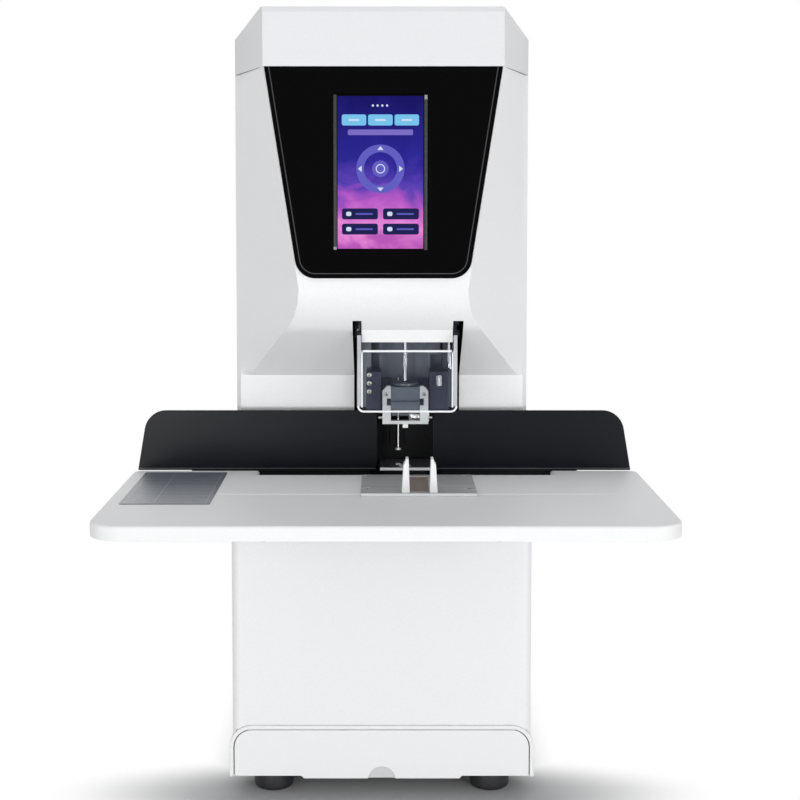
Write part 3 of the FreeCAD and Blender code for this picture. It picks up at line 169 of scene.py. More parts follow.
def colour_ramp(tree, *stops):
    """A ramp through (position, colour) stops, in rising order."""
    ramp = add_node(tree, "ShaderNodeValToRGB")
    elements = ramp.color_ramp.elements
    for element, (position, colour) in zip(elements[:], (stops[0], stops[-1])):
        element.position = position
        element.color = (*colour, 1)
    for position, colour in stops[1:-1]:
        elements.new(position).color = (*colour, 1)
    return ramp


def mix_shaders(tree, share, first, second, surface):
    """Two shaders mixed by a share and led to the surface."""
    mix = add_node(tree, "ShaderNodeMixShader")
    for socket, output in zip(mix.inputs[:], (share, first, second)):
        tree.links.new(output, socket)
    tree.links.new(mix.outputs[0], surface)


def open_rays(tree):
    """1 for rays from the camera, off gloss and through glass, which see plain white."""
    path = add_node(tree, "ShaderNodeLightPath").outputs
    seen = arithmetic(tree, "MAXIMUM", path["Is Camera Ray"], path["Is Glossy Ray"])
    return arithmetic(tree, "MAXIMUM", seen, path["Is Transmission Ray"])


def principled(material):
    return material.node_tree.nodes["Principled BSDF"]


def new_material(name, colour, roughness, metallic=0.0, **inputs):
    """A Principled material; further sockets by name with underscores for spaces."""
    material = bpy.data.materials.new(name)
    material.use_nodes = True
    shader = principled(material)
    shader.inputs["Base Color"].default_value = (*colour, 1)
    shader.inputs["Roughness"].default_value = roughness
    shader.inputs["Metallic"].default_value = metallic
    for key, value in inputs.items():
        shader.inputs[key.replace("_", " ")].default_value = value
    return material


def add_bump(material, scale, distance, stretch=(1, 1, 1)):
    """Fine grain from noise in object space, stretched along an axis for brushed metal."""
    tree = material.node_tree
    place = add_node(tree, "ShaderNodeTexCoord")
    mapping = add_node(tree, "ShaderNodeMapping", {"Scale": stretch})
    noise = add_node(tree, "ShaderNodeTexNoise", {"Scale": scale, "Detail": 3.0})
    bump = add_node(tree, "ShaderNodeBump", {"Distance": distance, "Strength": 1.0})
    chain(tree, place.outputs["Object"], mapping, noise)
    tree.links.new(noise.outputs["Fac"], bump.inputs["Height"])
    tree.links.new(bump.outputs[0], principled(material).inputs["Normal"])
    return noise.outputs["Fac"]


def grained(name, low, high, rough, scale=900.0, distance=0.00004, stretch=(1, 1, 1), metallic=0.0,
            **inputs):
    """A material with grain: colour between two shades, roughness between two values."""
    material = new_material(name, low, rough[0], metallic, **inputs)
    tree, shader = material.node_tree, principled(material)
    grain = add_bump(material, scale, distance, stretch)
    spread = add_node(tree, "ShaderNodeMapRange", {"To Min": rough[0], "To Max": rough[1]})
    tree.links.new(chain(tree, grain, spread), shader.inputs["Roughness"])
    ramp = colour_ramp(tree, (0.35, low), (0.65, high))
    tree.links.new(chain(tree, grain, ramp), shader.inputs["Base Color"])
    return material


def see_through(name, low, high, rough, alpha, **inputs):
    """Clear plastic as a thin tint that lets light and shadow through."""
    return grained(name, low, high, rough, scale=40.0, distance=0.000004, Alpha=alpha, **inputs)


def paint_outline_reflection(material):
    """Painted reflection on polished round metal: colour deep where it faces you, bright towards its
    outline.
    """
    tree = material.node_tree
    facing = add_node(tree, "ShaderNodeLayerWeight", {"Blend": 0.5})
    ramp = colour_ramp(tree, (0.14, (0.11, 0.115, 0.13)), (0.30, (0.84, 0.84, 0.86)))
    tree.links.new(chain(tree, facing.outputs["Facing"], ramp), principled(material).inputs["Base Color"])


def lit_glass(name, roughness, strength, colour=WHITE):
    """Black glass with a light of its own behind it."""
    return new_material(name, (0.002, 0.002, 0.004), roughness, Specular_IOR_Level=0.05,
                        Emission_Color=(*colour, 1), Emission_Strength=strength)


def lit_key(name, colour, strength):
    """A lit shape on the screen, under a faintly uneven surface."""
    material = lit_glass(name, 0.12, strength, colour)
    add_bump(material, 500.0, 0.000001)
    return material


# ---------- materials
PAINT = {
    "white": grained("white_powder_coat", (0.80, 0.803, 0.81), (0.83, 0.833, 0.84), (0.36, 0.44)),
    # cap: a cooler tone of the white paint, made darker than it as painted shade
    "cap": grained("cap_cool_tone_and_shade", (0.690, 0.700, 0.716), (0.715, 0.725, 0.742), (0.36, 0.44)),
    "moulding": grained("white_moulding", (0.80, 0.803, 0.805), (0.825, 0.828, 0.83), (0.30, 0.38),
                        scale=1400.0, distance=0.00002),
    # darker grey for the back of the drawer's finger notch: painted shade
    "painted_notch_shade": grained("notch_painted_shade", (0.56, 0.565, 0.57), (0.60, 0.605, 0.61), (0.5, 0.6)),
    "grey": grained("rear_grey", (0.60, 0.61, 0.63), (0.64, 0.65, 0.67), (0.40, 0.5)),
    "seam": grained("seam_shade", (0.20, 0.205, 0.215), (0.25, 0.255, 0.265), (0.6, 0.7)),
    "table": grained("table_coat", (0.79, 0.80, 0.80), (0.81, 0.82, 0.82), (0.5, 0.58),
                     scale=1200.0, distance=0.00001, Specular_IOR_Level=0.1),
    "navy": grained("fence_navy", (0.0045, 0.0055, 0.0085), (0.0065, 0.0075, 0.011), (0.27, 0.33),
                    scale=1600.0, distance=0.00001, Specular_IOR_Level=0.12),
    # lighter line at the foot of the dark fence: painted highlight
    "fence_foot_highlight": grained("fence_foot_highlight", (0.035, 0.04, 0.05), (0.05, 0.055, 0.065), (0.3, 0.4)),
    "black_gloss": grained("panel_black", (0.0010, 0.0010, 0.0013), (0.0016, 0.0016, 0.002),
                           (0.04, 0.07), distance=0.000002, Specular_IOR_Level=0.03),
    # raised bevel line on the black panel: lighter grey than the panel as painted highlight
    "panel_bevel_highlight": grained("panel_bevel_highlight", (0.022, 0.022, 0.025), (0.034, 0.034, 0.038), (0.12, 0.2),
                           distance=0.000002),
    "black_satin": grained("black_satin", (0.010, 0.010, 0.012), (0.016, 0.016, 0.019), (0.38, 0.5)),
    "rubber": grained("rubber_black", (0.006, 0.006, 0.008), (0.010, 0.010, 0.013), (0.42, 0.55),
                      scale=1800.0),
    "plate_steel": grained("plate_brushed", (0.40, 0.402, 0.41), (0.50, 0.503, 0.51), (0.38, 0.48),
                           scale=420.0, stretch=(0.05, 1, 1), metallic=0.2),
    "steel": grained("steel_brushed", (0.40, 0.40, 0.43), (0.50, 0.50, 0.53), (0.26, 0.38),
                     scale=600.0, stretch=(0.06, 1, 1), metallic=1.0),
    "steel_turned": grained("steel_turned", (0.55, 0.56, 0.58), (0.66, 0.67, 0.69), (0.16, 0.28),
                            stretch=(0.3, 0.3, 3), metallic=1.0),
    "dark_steel": grained("steel_dark", (0.10, 0.105, 0.12), (0.17, 0.175, 0.19), (0.28, 0.42),
                          scale=500.0, stretch=(1, 1, 0.05), metallic=1.0),
    "inner_steel": grained("steel_blued", (0.030, 0.038, 0.058), (0.115, 0.13, 0.16), (0.30, 0.42),
                           scale=55.0, stretch=(1, 1, 0.22), metallic=0.3),
    # pale steel for the plate's screws, partly their own colour and partly painted glint
    "bright_steel_and_glint": grained("steel_bright_and_glint", (0.66, 0.66, 0.67), (0.78, 0.78, 0.79), (0.2, 0.3),
                            metallic=0.3),
    # near-white for lines along lit edges: painted highlight
    "painted_edge_highlight": grained("painted_edge_highlight", (0.80, 0.81, 0.83), (0.86, 0.87, 0.89), (0.25, 0.35)),
    "chrome": grained("chrome_polished", (0.80, 0.80, 0.82), (0.84, 0.84, 0.86), (0.06, 0.10),
                      distance=0.000001, stretch=(1, 1, 0.02), metallic=1.0),
    "zinc": grained("zinc_plated", (0.50, 0.51, 0.50), (0.62, 0.63, 0.62), (0.28, 0.42), metallic=1.0),
    "cast": grained("cast_dark", (0.0035, 0.004, 0.005), (0.006, 0.0065, 0.008), (0.5, 0.65),
                    scale=400.0, distance=0.0001, Specular_IOR_Level=0.15),
    "alloy": grained("alloy_blue_grey", (0.060, 0.078, 0.105), (0.095, 0.115, 0.145), (0.26, 0.36),
                     metallic=0.3),
    "label": grained("label_dark", (0.10, 0.115, 0.14), (0.13, 0.145, 0.17), (0.42, 0.5)),
    "rule": grained("label_rule", (0.30, 0.31, 0.33), (0.36, 0.37, 0.39), (0.45, 0.55)),
    "brown": grained("insert_brown", (0.20, 0.165, 0.15), (0.26, 0.22, 0.20), (0.42, 0.55)),
    "block": grained("block_navy", (0.010, 0.014, 0.036), (0.018, 0.023, 0.050), (0.3, 0.4),
                     Specular_IOR_Level=0.3),
    "strip": grained("strip_grey", (0.014, 0.015, 0.017), (0.020, 0.021, 0.023), (0.3, 0.4),
                     Specular_IOR_Level=0.3),
    # light grey chips at the strips' ends: painted glints
    "painted_strip_glint": grained("painted_strip_glint", (0.22, 0.22, 0.23), (0.30, 0.30, 0.31), (0.2, 0.3)),
    "pad": grained("pad_ivory", (0.55, 0.54, 0.50), (0.62, 0.61, 0.57), (0.45, 0.55)),
    "circuit": grained("circuit_green", (0.008, 0.07, 0.03), (0.012, 0.10, 0.045), (0.3, 0.4)),
    "clear": see_through("guard_clear", (0.08, 0.10, 0.15), (0.10, 0.12, 0.17), (0.03, 0.05), 0.07,
                         Specular_IOR_Level=0.3),
    # pale bands on the clear guard's side walls: painted highlight
    "clear_edge_highlight": see_through("guard_edge_highlight", (0.60, 0.61, 0.65), (0.72, 0.73, 0.77), (0.15, 0.22), 0.66),
    "frosted": see_through("bracket_frosted", (0.60, 0.63, 0.65), (0.74, 0.77, 0.79), (0.25, 0.35), 0.84),
    "key_pale": lit_key("key_pale", (0.20, 0.60, 0.92), 0.9),
    "key_violet": lit_key("key_violet", (0.25, 0.18, 0.68), 0.8),
    "key_dark": lit_key("key_dark", (0.010, 0.012, 0.085), 0.9),
    "key_mid": lit_key("key_mid", (0.13, 0.12, 0.58), 0.9),
    "key_mark": lit_key("key_mark", (0.72, 0.80, 0.98), 0.9),
}
# the chrome's colour carries a painted reflection, bright towards each outline
paint_outline_reflection(PAINT["chrome"])

NODE_PAINT = {
    "white": ("cabinet_shell", "arch_rim", "column_cover"),
    "cap": ("top_cap",),
    "moulding": ("waste_drawer", "guide_fingers"),
    "grey": ("rear_cover",),
    "table": ("worktable",),
    "navy": ("back_fence",),
    "cast": ("anvil_arm", "frame_spine", "fence_brackets", "feed_rods", "guard_pivots"),
    "black_gloss": ("display_panel",),
    "black_satin": ("base_chassis", "power_inlet", "rocker_switch", "table_motor", "drill_motor",
                    "drill_feed_motor", "press_motor"),
    "rubber": ("rubber_feet",),
    "plate_steel": ("table_plate",),
    "steel": ("table_rails", "table_rack", "bed_plate"),
    "steel_turned": ("drive_pinion", "lower_die", "drill_spindle", "knurled_nozzle"),
    "inner_steel": ("backing_plate", "guide_rail", "press_carriage", "drill_carriage"),
    "dark_steel": ("table_console",),
    "chrome": ("drill_feed_screw", "press_screw", "drill_bit"),
    "zinc": ("rear_cover_screws", "bracket_screws", "terminal_screws", "plate_screws",
             "power_supply", "rivet_needle", "bracket_pins"),
    "alloy": ("bearing_blocks", "presser_block", "press_disc"),
    "label": ("label_plate",),
    "brown": ("plate_insert",),
    "block": ("terminal_block", "sensor_block"),
    "strip": ("screen_strips",),
    "pad": ("drill_pad",),
    "circuit": ("control_board",),
    "clear": ("clear_guard",),
    "frosted": ("presser_bracket",),
}
PAINT_OF = {name: key for key, members in NODE_PAINT.items() for name in members}

# how far each node's edges are rounded, in millimetres
SOFT_EDGE = {
    "cabinet_shell": 1.2, "column_cover": 1.8, "worktable": 0.9, "back_fence": 0.8,
    "display_panel": 0.5, "rear_cover": 0.5, "table_plate": 0.3, "plate_insert": 0.25,
    "guide_fingers": 0.7, "clear_guard": 0.5, "presser_bracket": 0.35, "presser_block": 0.5,
    "terminal_block": 0.7, "sensor_block": 0.6, "backing_plate": 0.3, "bed_plate": 0.3,
    "fence_brackets": 0.6, "power_inlet": 0.5, "rocker_switch": 0.4, "bearing_blocks": 0.6,
    "table_console": 0.5, "table_motor": 0.8, "press_carriage": 0.5,
}

# colours of the screen's background, from its foot to its top
SCREEN_STOPS = (
    (0.0, (0.50, 0.10, 0.50)), (0.13, (0.86, 0.26, 0.72)), (0.28, (0.48, 0.10, 0.58)),
    (0.42, (0.10, 0.05, 0.46)), (0.60, (0.022, 0.016, 0.30)), (1.0, (0.005, 0.003, 0.13)),
)


# ---------- camera, light, floor
def build_camera():
    """Camera at the height of the screen, turned a little down."""
    data = bpy.data.cameras.new("camera")
    data.sensor_width = SENSOR
    data.lens = LENS
    data.shift_x, data.shift_y = SHIFT
    camera = bpy.data.objects.new("camera", data)
    camera.location = [place * MM for place in CAMERA_PLACE]
    camera.rotation_euler = (math.radians(90.0 - CAMERA_DOWN), 0.0, 0.0)
    bpy.context.scene.collection.objects.link(camera)
    bpy.context.scene.camera = camera


def build_lamps():
    """Soft boxes in front at both sides, above and behind."""
    for name, (place, size, power) in LAMPS.items():
        data = bpy.data.lights.new(name, "AREA")
        data.shape = "RECTANGLE"
        data.size, data.size_y = size
        data.energy = power
        lamp = bpy.data.objects.new(name, data)
        lamp.location = place
        aim = Vector(LAMP_TARGET) - Vector(place)
        lamp.rotation_euler = aim.to_track_quat("-Z", "Y").to_euler()
        bpy.context.scene.collection.objects.link(lamp)


def build_world():
    """White where it is seen, dimmer where it lights the object."""
    world = bpy.data.worlds.new("studio")
    bpy.context.scene.world = world
    world.use_nodes = True
    tree = world.node_tree
    tree.nodes.clear()
    out = add_node(tree, "ShaderNodeOutputWorld")
    dim, white = (add_node(tree, "ShaderNodeBackground", {"Color": (*colour, 1), "Strength": strength})
                  for colour, strength in ((WORLD_TINT, WORLD_LIGHT), (WHITE, 1.0)))
    mix_shaders(tree, open_rays(tree), dim.outputs[0], white.outputs[0], out.inputs["Surface"])


def floor_material():
    """Shade in front of the object and its own shadow under it, on a floor that is plain white."""
    material = new_material("floor_white", FLOOR_LIT, 0.9)
    tree, shader = material.node_tree, principled(material)
    path = add_node(tree, "ShaderNodeLightPath")
    # places of the mix node's sockets for colours
    first, second, mixed = 6, 7, 2
    tone = add_node(tree, "ShaderNodeMix", {first: (*FLOOR_LIT, 1), second: (*FLOOR_SEEN, 1)},
                    data_type="RGBA")
    tree.links.new(path.outputs["Is Camera Ray"], tone.inputs[0])
    tree.links.new(tone.outputs[mixed], shader.inputs["Base Color"])

    place = add_node(tree, "ShaderNodeTexCoord").outputs["Object"]
    offset = [-centre / reach for centre, reach in zip(SHADE_MIDDLE, SHADE_REACH)]
    squeeze = [1 / reach for reach in SHADE_REACH]
    patch = chain(tree, place, add_node(tree, "ShaderNodeMapping",
                                        {"Scale": (*squeeze, 0), "Location": (*offset, 0)}))
    steps = (("SUBTRACT", SHADOW_MIDDLE), ("ABSOLUTE", (0, 0, 0)), ("SUBTRACT", SHADOW_HALF),
             ("MAXIMUM", (0, 0, 0)))
    outside = chain(tree, place, *(add_node(tree, "ShaderNodeVectorMath", {1: other}, operation=operation)
                                   for operation, other in steps))
    white = arithmetic(tree, "MINIMUM", soft_step(tree, patch, *SHADE_STEP),
                       soft_step(tree, outside, *SHADOW_STEP))
    seen = arithmetic(tree, "MULTIPLY", white, open_rays(tree))
    glow = add_node(tree, "ShaderNodeEmission", {"Color": (*WHITE, 1)})
    mix_shaders(tree, seen, shader.outputs[0], glow.outputs[0],
                tree.nodes["Material Output"].inputs["Surface"])
    return material


def build_floor():
    """Floor in soft shade close to the object, plain white further off."""
    mesh = bpy.data.meshes.new("floor")
    corners = ((-1, -1), (1, -1), (1, 1), (-1, 1))
    mesh.from_pydata([(x * FLOOR_REACH, y * FLOOR_REACH, 0) for x, y in corners], [], [(0, 1, 2, 3)])
    mesh.materials.append(floor_material())
    floor = bpy.data.objects.new("floor", mesh)
    bpy.context.scene.collection.objects.link(floor)


# ---------- outlines and forms
def arc(cx, cy, radius, start, end, steps):
    """Points of an arc between two angles in degrees."""
    angles = [math.radians(start + (end - start) * k / steps) for k in range(steps + 1)]
    return [(cx + radius * math.cos(angle), cy + radius * math.sin(angle)) for angle in angles]


def rectangle(x0, x1, y0, y1):
    """Corners of a rectangle, anticlockwise."""
    return [(x0, y0), (x1, y0), (x1, y1), (x0, y1)]


def rounded_outline(left, right, low, high, radius):
    """A rectangle with round corners, anticlockwise from the lower right."""
    out = []
    for cx, cy, start in ((right - radius, low + radius, -90), (right - radius, high - radius, 0),
                          (left + radius, high - radius, 90), (left + radius, low + radius, 180)):
        out += arc(cx, cy, radius, start, start + 90, 6)
    return out


def arch_outline(half, low, high, radius):
    """An arch: straight sides, round upper corners, from the lower right round to the lower left."""
    return ([(half, low)] + arc(half - radius, high - radius, radius, 0, 90, 10)
            + arc(radius - half, high - radius, radius, 90, 180, 10) + [(-half, low)])


def flat_hull(spots):
    """Outer corners of points on a level, anticlockwise."""
    def turn(a, b, c):
        return (b[0] - a[0]) * (c[1] - a[1]) - (b[1] - a[1]) * (c[0] - a[0])
    halves = []
    for run in (sorted(spots), sorted(spots, reverse=True)):
        half = []
        for spot in run:
            while len(half) > 1 and turn(half[-2], half[-1], spot) <= 1e-6:
                half.pop()
            half.append(spot)
        halves.append(half[:-1])
    return halves[0] + halves[1]


def drawn_in(outline, distance):
    """The outline moved inwards by a distance."""
    out = []
    for k, spot in enumerate(outline):
        before, after = Vector(outline[k - 1]), Vector(outline[(k + 1) % len(outline)])
        here = Vector(spot)
        first, second = (here - before).normalized(), (after - here).normalized()
        inward = (Vector((-first.y, first.x)) + Vector((-second.y, second.x))).normalized()
        out.append(tuple(here + inward * distance))
    return out


def facing_front(across, up, out):
    """Millimetres on a front face: out is the Y place."""
    return (across * MM, out * MM, up * MM)


def facing_up(across, along, out):
    """Millimetres on a level face: out is the height."""
    return (across * MM, along * MM, out * MM)


def plate(outline, low, high, turn):
    """Points and faces of a flat outline given thickness; turn places (across, up, out)."""
    count = len(outline)
    points = [turn(a, b, low) for a, b in outline] + [turn(a, b, high) for a, b in outline]
    faces = [tuple(reversed(range(count))), tuple(range(count, 2 * count))]
    faces += [(i, (i + 1) % count, count + (i + 1) % count, count + i) for i in range(count)]
    return points, faces


def lathe(profile, centre, turn, steps, ridge=0.0, ridges=0, bored=False):
    """Points and faces of a turned form; profile is (radius, along) pairs, in millimetres.

    A bored form's profile runs up outside and down inside, and closes on itself.
    """
    points, faces = [], []
    for radius, depth in profile:
        for k in range(steps):
            angle = 2 * math.pi * k / steps
            reach = radius - ridge * (0.5 + 0.5 * math.cos(angle * ridges))
            points.append(turn(centre[0] + reach * math.cos(angle),
                               centre[1] + reach * math.sin(angle), depth))
    rows = len(profile)
    for row in range(rows if bored else rows - 1):
        a, b = row * steps, ((row + 1) % rows) * steps
        faces += [(a + k, a + (k + 1) % steps, b + (k + 1) % steps, b + k) for k in range(steps)]
    if not bored:
        last = (rows - 1) * steps
        faces += [tuple(reversed(range(steps))), tuple(range(last, last + steps))]
    return points, faces


def merge(forms):
    """Several forms' points and faces as one."""
    points, faces = [], []
    for more_points, more_faces in forms:
        shift = len(points)
        points += more_points
        faces += [tuple(i + shift for i in face) for face in more_faces]
    return points, faces


# ---------- piece helpers
def box_mm(node):
    """A node's corners in millimetres."""
    low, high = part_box(node)
    return [v / MM for v in low], [v / MM for v in high]


def middle(low, high):
    """Middle of a box as seen from above."""
    return (low[0] + high[0]) / 2, (low[1] + high[1]) / 2


def half_width(low, high):
    return (high[0] - low[0]) / 2


def islands(node):
    """Boxes, in millimetres, of the separate solids in a node."""
    work = bmesh.new()
    work.from_mesh(nodes[node].data)
    bmesh.ops.remove_doubles(work, verts=work.verts, dist=1e-6)
    left, found = set(work.verts), []
    while left:
        stack, seen = [left.pop()], []
        while stack:
            spot = stack.pop()
            seen.append(spot.co / MM)
            for edge in spot.link_edges:
                other = edge.other_vert(spot)
                if other in left:
                    left.remove(other)
                    stack.append(other)
        found.append(([min(p[i] for p in seen) for i in range(3)],
                      [max(p[i] for p in seen) for i in range(3)]))
    work.free()
    return sorted(found)


def link(name, mesh, paint, body):
    """A new piece that rides on a body."""
    mesh.materials.clear()
    mesh.materials.append(PAINT[paint])
    piece = bpy.data.objects.new(name, mesh)
    bpy.context.scene.collection.objects.link(piece)
    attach(piece, body)
    return piece


def solid(name, form, paint, body):
    """A piece from points and faces."""
    mesh = bpy.data.meshes.new(name)
    mesh.from_pydata(form[0], [], form[1])
    mesh.update()
    return link(name, mesh, paint, body)


def edit(mesh, *changes):
    """Opens a mesh, makes the changes in turn and writes it back."""
    work = bmesh.new()
    work.from_mesh(mesh)
    for change in changes:
        change(work)
    work.to_mesh(mesh)
    work.free()


def outward(work):
    bmesh.ops.recalc_face_normals(work, faces=work.faces)


def weld(work):
    bmesh.ops.remove_doubles(work, verts=work.verts, dist=1e-6)


def join_flats(work):
    bmesh.ops.dissolve_limit(work, angle_limit=math.radians(1.0), verts=work.verts, edges=work.edges)


def on_seam(spot):
    return abs(spot.co.z - SEAM_HEIGHT) < 1e-4


def at_seam(edge):
    return all(on_seam(spot) for spot in edge.verts)


def round_edges(work, width, segments=3, wanted=lambda edge: True):
    """Rounds the sharp edges of a mesh that pass the test."""
    sharp = [edge for edge in work.edges if len(edge.link_faces) == 2
             and edge.calc_face_angle(0.0) > math.radians(28.0) and wanted(edge)]
    bmesh.ops.bevel(work, geom=sharp, offset=width * MM, segments=segments, profile=0.5,
                    affect="EDGES", clamp_overlap=True)


def round_but_seam(work, width):
    """Rounds the sharp edges, and those on the seam only a little."""
    round_edges(work, width, wanted=lambda edge: not at_seam(edge))
    round_edges(work, SEAM_EDGE, 2, at_seam)


def even_normals(piece):
    """Smooth shading that keeps the flats flat beside their rounded edges."""
    for face in piece.data.polygons:
        face.use_smooth = True
    weigh = piece.modifiers.new("even_normals", "WEIGHTED_NORMAL")
    weigh.keep_sharp = True


def smooth_piece(piece, angle=35.0):
    """Smooth shading but for edges sharper than an angle in degrees."""
    for face in piece.data.polygons:
        face.use_smooth = True
    piece.data.set_sharp_from_angle(angle=math.radians(angle))


def soft_plate(name, outline, low, high, paint, body, edge):
    """A flat piece that faces the front, with rounded edges."""
    piece = solid(name, plate(outline, low, high, facing_front), paint, body)
    edit(piece.data, outward, lambda work: round_edges(work, edge))
    even_normals(piece)
    return piece


def bars(name, boxes, paint, body):
    """Thin straight pieces from (x, y, z) ranges in millimetres, as one piece."""
    piece = solid(name, merge([plate(rectangle(*across, *up), *out, facing_front)
                               for across, out, up in boxes]), paint, body)
    edit(piece.data, outward)
    return piece


def turned(name, node, rows, steps, paint, angle=35.0, **form):
    """A turned piece about the upright middle of a node, standing for the node."""
    piece = solid(name, lathe(rows, middle(*box_mm(node)), facing_up, steps, **form), paint, BODY_OF[node])
    smooth_piece(piece, angle)
    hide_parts(node)


# ---------- nodes' own shapes, dressed
def paint_nodes():
    """Every node in its own paint."""
    for name, paint in PAINT_OF.items():
        mesh = nodes[name].data
        mesh.materials.clear()
        mesh.materials.append(PAINT[paint])


def soften(node, width):
    """The node's own shape with its edges rounded, standing for the node."""
    mesh = nodes[node].data.copy()
    mesh.name = node + "_soft"
    edit(mesh, weld, join_flats, lambda work: round_but_seam(work, width))
    piece = link(node + "_soft", mesh, PAINT_OF[node], BODY_OF[node])
    even_normals(piece)
    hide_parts(node)


# ---------- turned pieces
def build_feet():
    """Round rubber feet with a soft lower lip, drawn in a little towards the top."""
    lip, lip_steps = 3.2, 6
    # shares of the height, and how far the foot is drawn in there
    neck = ((0.6, 0.0), (0.85, 0.3), (1.0, 1.0))
    forms = []
    for low, high in islands("rubber_feet"):
        radius, top = half_width(low, high), high[2]
        angles = [math.radians(90.0 * k / lip_steps) for k in range(lip_steps + 1)]
        profile = [(radius - lip * (1 - math.sin(angle)), lip * (1 - math.cos(angle))) for angle in angles]
        profile += [(radius - inset, top * share) for share, inset in neck]
        forms.append(lathe(profile, middle(low, high), facing_up, 56))
    piece = solid("round_feet", merge(forms), "rubber", "frame")
    smooth_piece(piece)
    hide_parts("rubber_feet")


def build_nozzle():
    """Knurled ring: fine upright ridges between two plain lips."""
    low, high = box_mm("knurled_nozzle")
    radius, lip, chamfer = half_width(low, high), 0.1, 0.4
    rows = [(radius - lip - chamfer, low[2]), (radius - lip, low[2] + chamfer),
            (radius - lip, high[2] - chamfer), (radius - lip - chamfer, high[2])]
    turned("ridged_nozzle", "knurled_nozzle", rows, 240, "steel_turned", angle=50.0, ridge=0.45,
           ridges=40)


def build_bit():
    """The drill's bit, with its ends drawn in."""
    low, high = box_mm("drill_bit")
    radius, chamfer = half_width(low, high), 0.2
    rows = [(radius * 0.9, low[2]), (radius, low[2] + chamfer), (radius, high[2] - chamfer),
            (radius * 0.9, high[2])]
    turned("hollow_bit", "drill_bit", rows, 32, "chrome")


def build_disc():
    """The presser's bored disc, chamfered below and more above."""
    low, high = box_mm("press_disc")
    radius, bore, under, over = half_width(low, high), 3.3, 0.4, 0.7
    rows = [(radius - under, low[2]), (radius, low[2] + under), (radius, high[2] - over),
            (radius - over, high[2]), (bore, high[2]), (bore, low[2])]
    turned("turned_disc", "press_disc", rows, 64, "alloy", bored=True)


def build_needle():
    """Thin needle that stands on a small round foot."""
    low, high = box_mm("rivet_needle")
    radius, shank = half_width(low, high), 0.55
    rows = [(radius * 0.8, low[2]), (radius * 0.95, low[2] + 0.3), (radius * 0.95, low[2] + 1.4),
            (shank, low[2] + 1.8), (shank, high[2])]
    turned("fine_needle", "rivet_needle", rows, 24, "zinc")


def build_backing():
    """Dark steel that closes the gaps between the backing plates and the guide rail."""
    thick, slack = 0.6, 0.05
    (_, first), (second, _) = islands("backing_plate")
    low, high = box_mm("guide_rail")
    gaps = ((first[0], low[0]), (high[0], second[0]))
    boxes = [((x0 + slack, x1 - slack), (first[1] - thick, first[1]), BACKING_LEVELS) for x0, x1 in gaps]
    bars("rear_backing", boxes, "inner_steel", BODY_OF["backing_plate"])


def build_sensor_pin():
    """Bright pin let half into the front of the sensor's block."""
    low, high = box_mm("sensor_block")
    radius, chamfer, foot, top = 2.3, 0.3, high[2] - 10.4, high[2] - 2.1
    rows = [(radius - chamfer, foot), (radius, foot + chamfer), (radius, top - chamfer),
            (radius - chamfer, top)]
    spot = (middle(low, high)[0] - 0.3, low[1])
    pin = solid("sensor_pin", lathe(rows, spot, facing_up, 32), "chrome", BODY_OF["sensor_block"])
    smooth_piece(pin)


def screw_heads(node, turn, sign, paint="zinc"):
    """Domed heads, each with a raised black cross of painted shade standing for its cross recess, in the
    place of a node's plain ones.
    """
    right, up, axis = {facing_front: (0, 2, 1), facing_up: (0, 1, 2)}[turn]
    # outline of the dome and the cross on it, as shares of the radius and of the rise
    dome = ((0.98, 0.0), (1.0, 0.3), (0.92, 0.75), (0.62, 0.93), (0.25, 0.985))
    arm_length, arm_half, cross_foot, cross_top = 0.52, 0.12, 0.9, 0.999
    heads, recess_shades = [], []
    for low, high in islands(node):
        cx, cy = (low[right] + high[right]) / 2, (low[up] + high[up]) / 2
        radius = min(high[right] - low[right], high[up] - low[up]) / 2
        base, top = (low[axis], high[axis]) if sign > 0 else (high[axis], low[axis])
        rise = (top - base) * 0.98
        profile = [(radius * width, base + rise * share) for width, share in dome]
        heads.append(lathe(profile, (cx, cy), turn, 28))
        arm, half = radius * arm_length, radius * arm_half
        for a, b in ((arm, half), (half, arm)):
            recess_shades.append(plate(rectangle(cx - a, cx + a, cy - b, cy + b), base + rise * cross_foot,
                               base + rise * cross_top, turn))
    piece = solid(node + "_heads", merge(heads), paint, BODY_OF[node])
    smooth_piece(piece)
    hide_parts(node)
    # black cross on each dome: painted shade of the recess
    solid(node + "_recess_shades", merge(recess_shades), "black_satin", BODY_OF[node])


# ---------- foot of the cabinet
def build_rim():
    """Arched band that frames the drawer, and a dark sheet behind the gap inside it as painted shade."""
    shade_foot, shade_over, shade_under, shade_back = 1.0, 0.5, 0.9, (2.3, 2.9)
    low, high = box_mm("arch_rim")
    half, top, body = high[0] - RIM_BAND, high[2] - RIM_BAND, BODY_OF["arch_rim"]
    corner = RIM_CORNER - RIM_BAND
    outer = arch_outline(high[0], low[2], high[2], RIM_CORNER)
    inner = arch_outline(half, low[2], top, corner)
    piece = soft_plate("arch_band", outer + inner[::-1], low[1], high[1], "white", body, edge=0.7)
    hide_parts("arch_rim")
    # dark sheet behind the gap between band and drawer: painted shade
    foot = low[2] + shade_foot
    outer = arch_outline(half + shade_over, foot, top + shade_over, corner)
    inner = arch_outline(half - shade_under, foot, top - shade_under, corner - shade_under)
    front, back = (low[1] + depth for depth in shade_back)
    gap_shade = soft_plate("gap_painted_shade", outer + inner[::-1], front, back, "cast", body, edge=0.05)


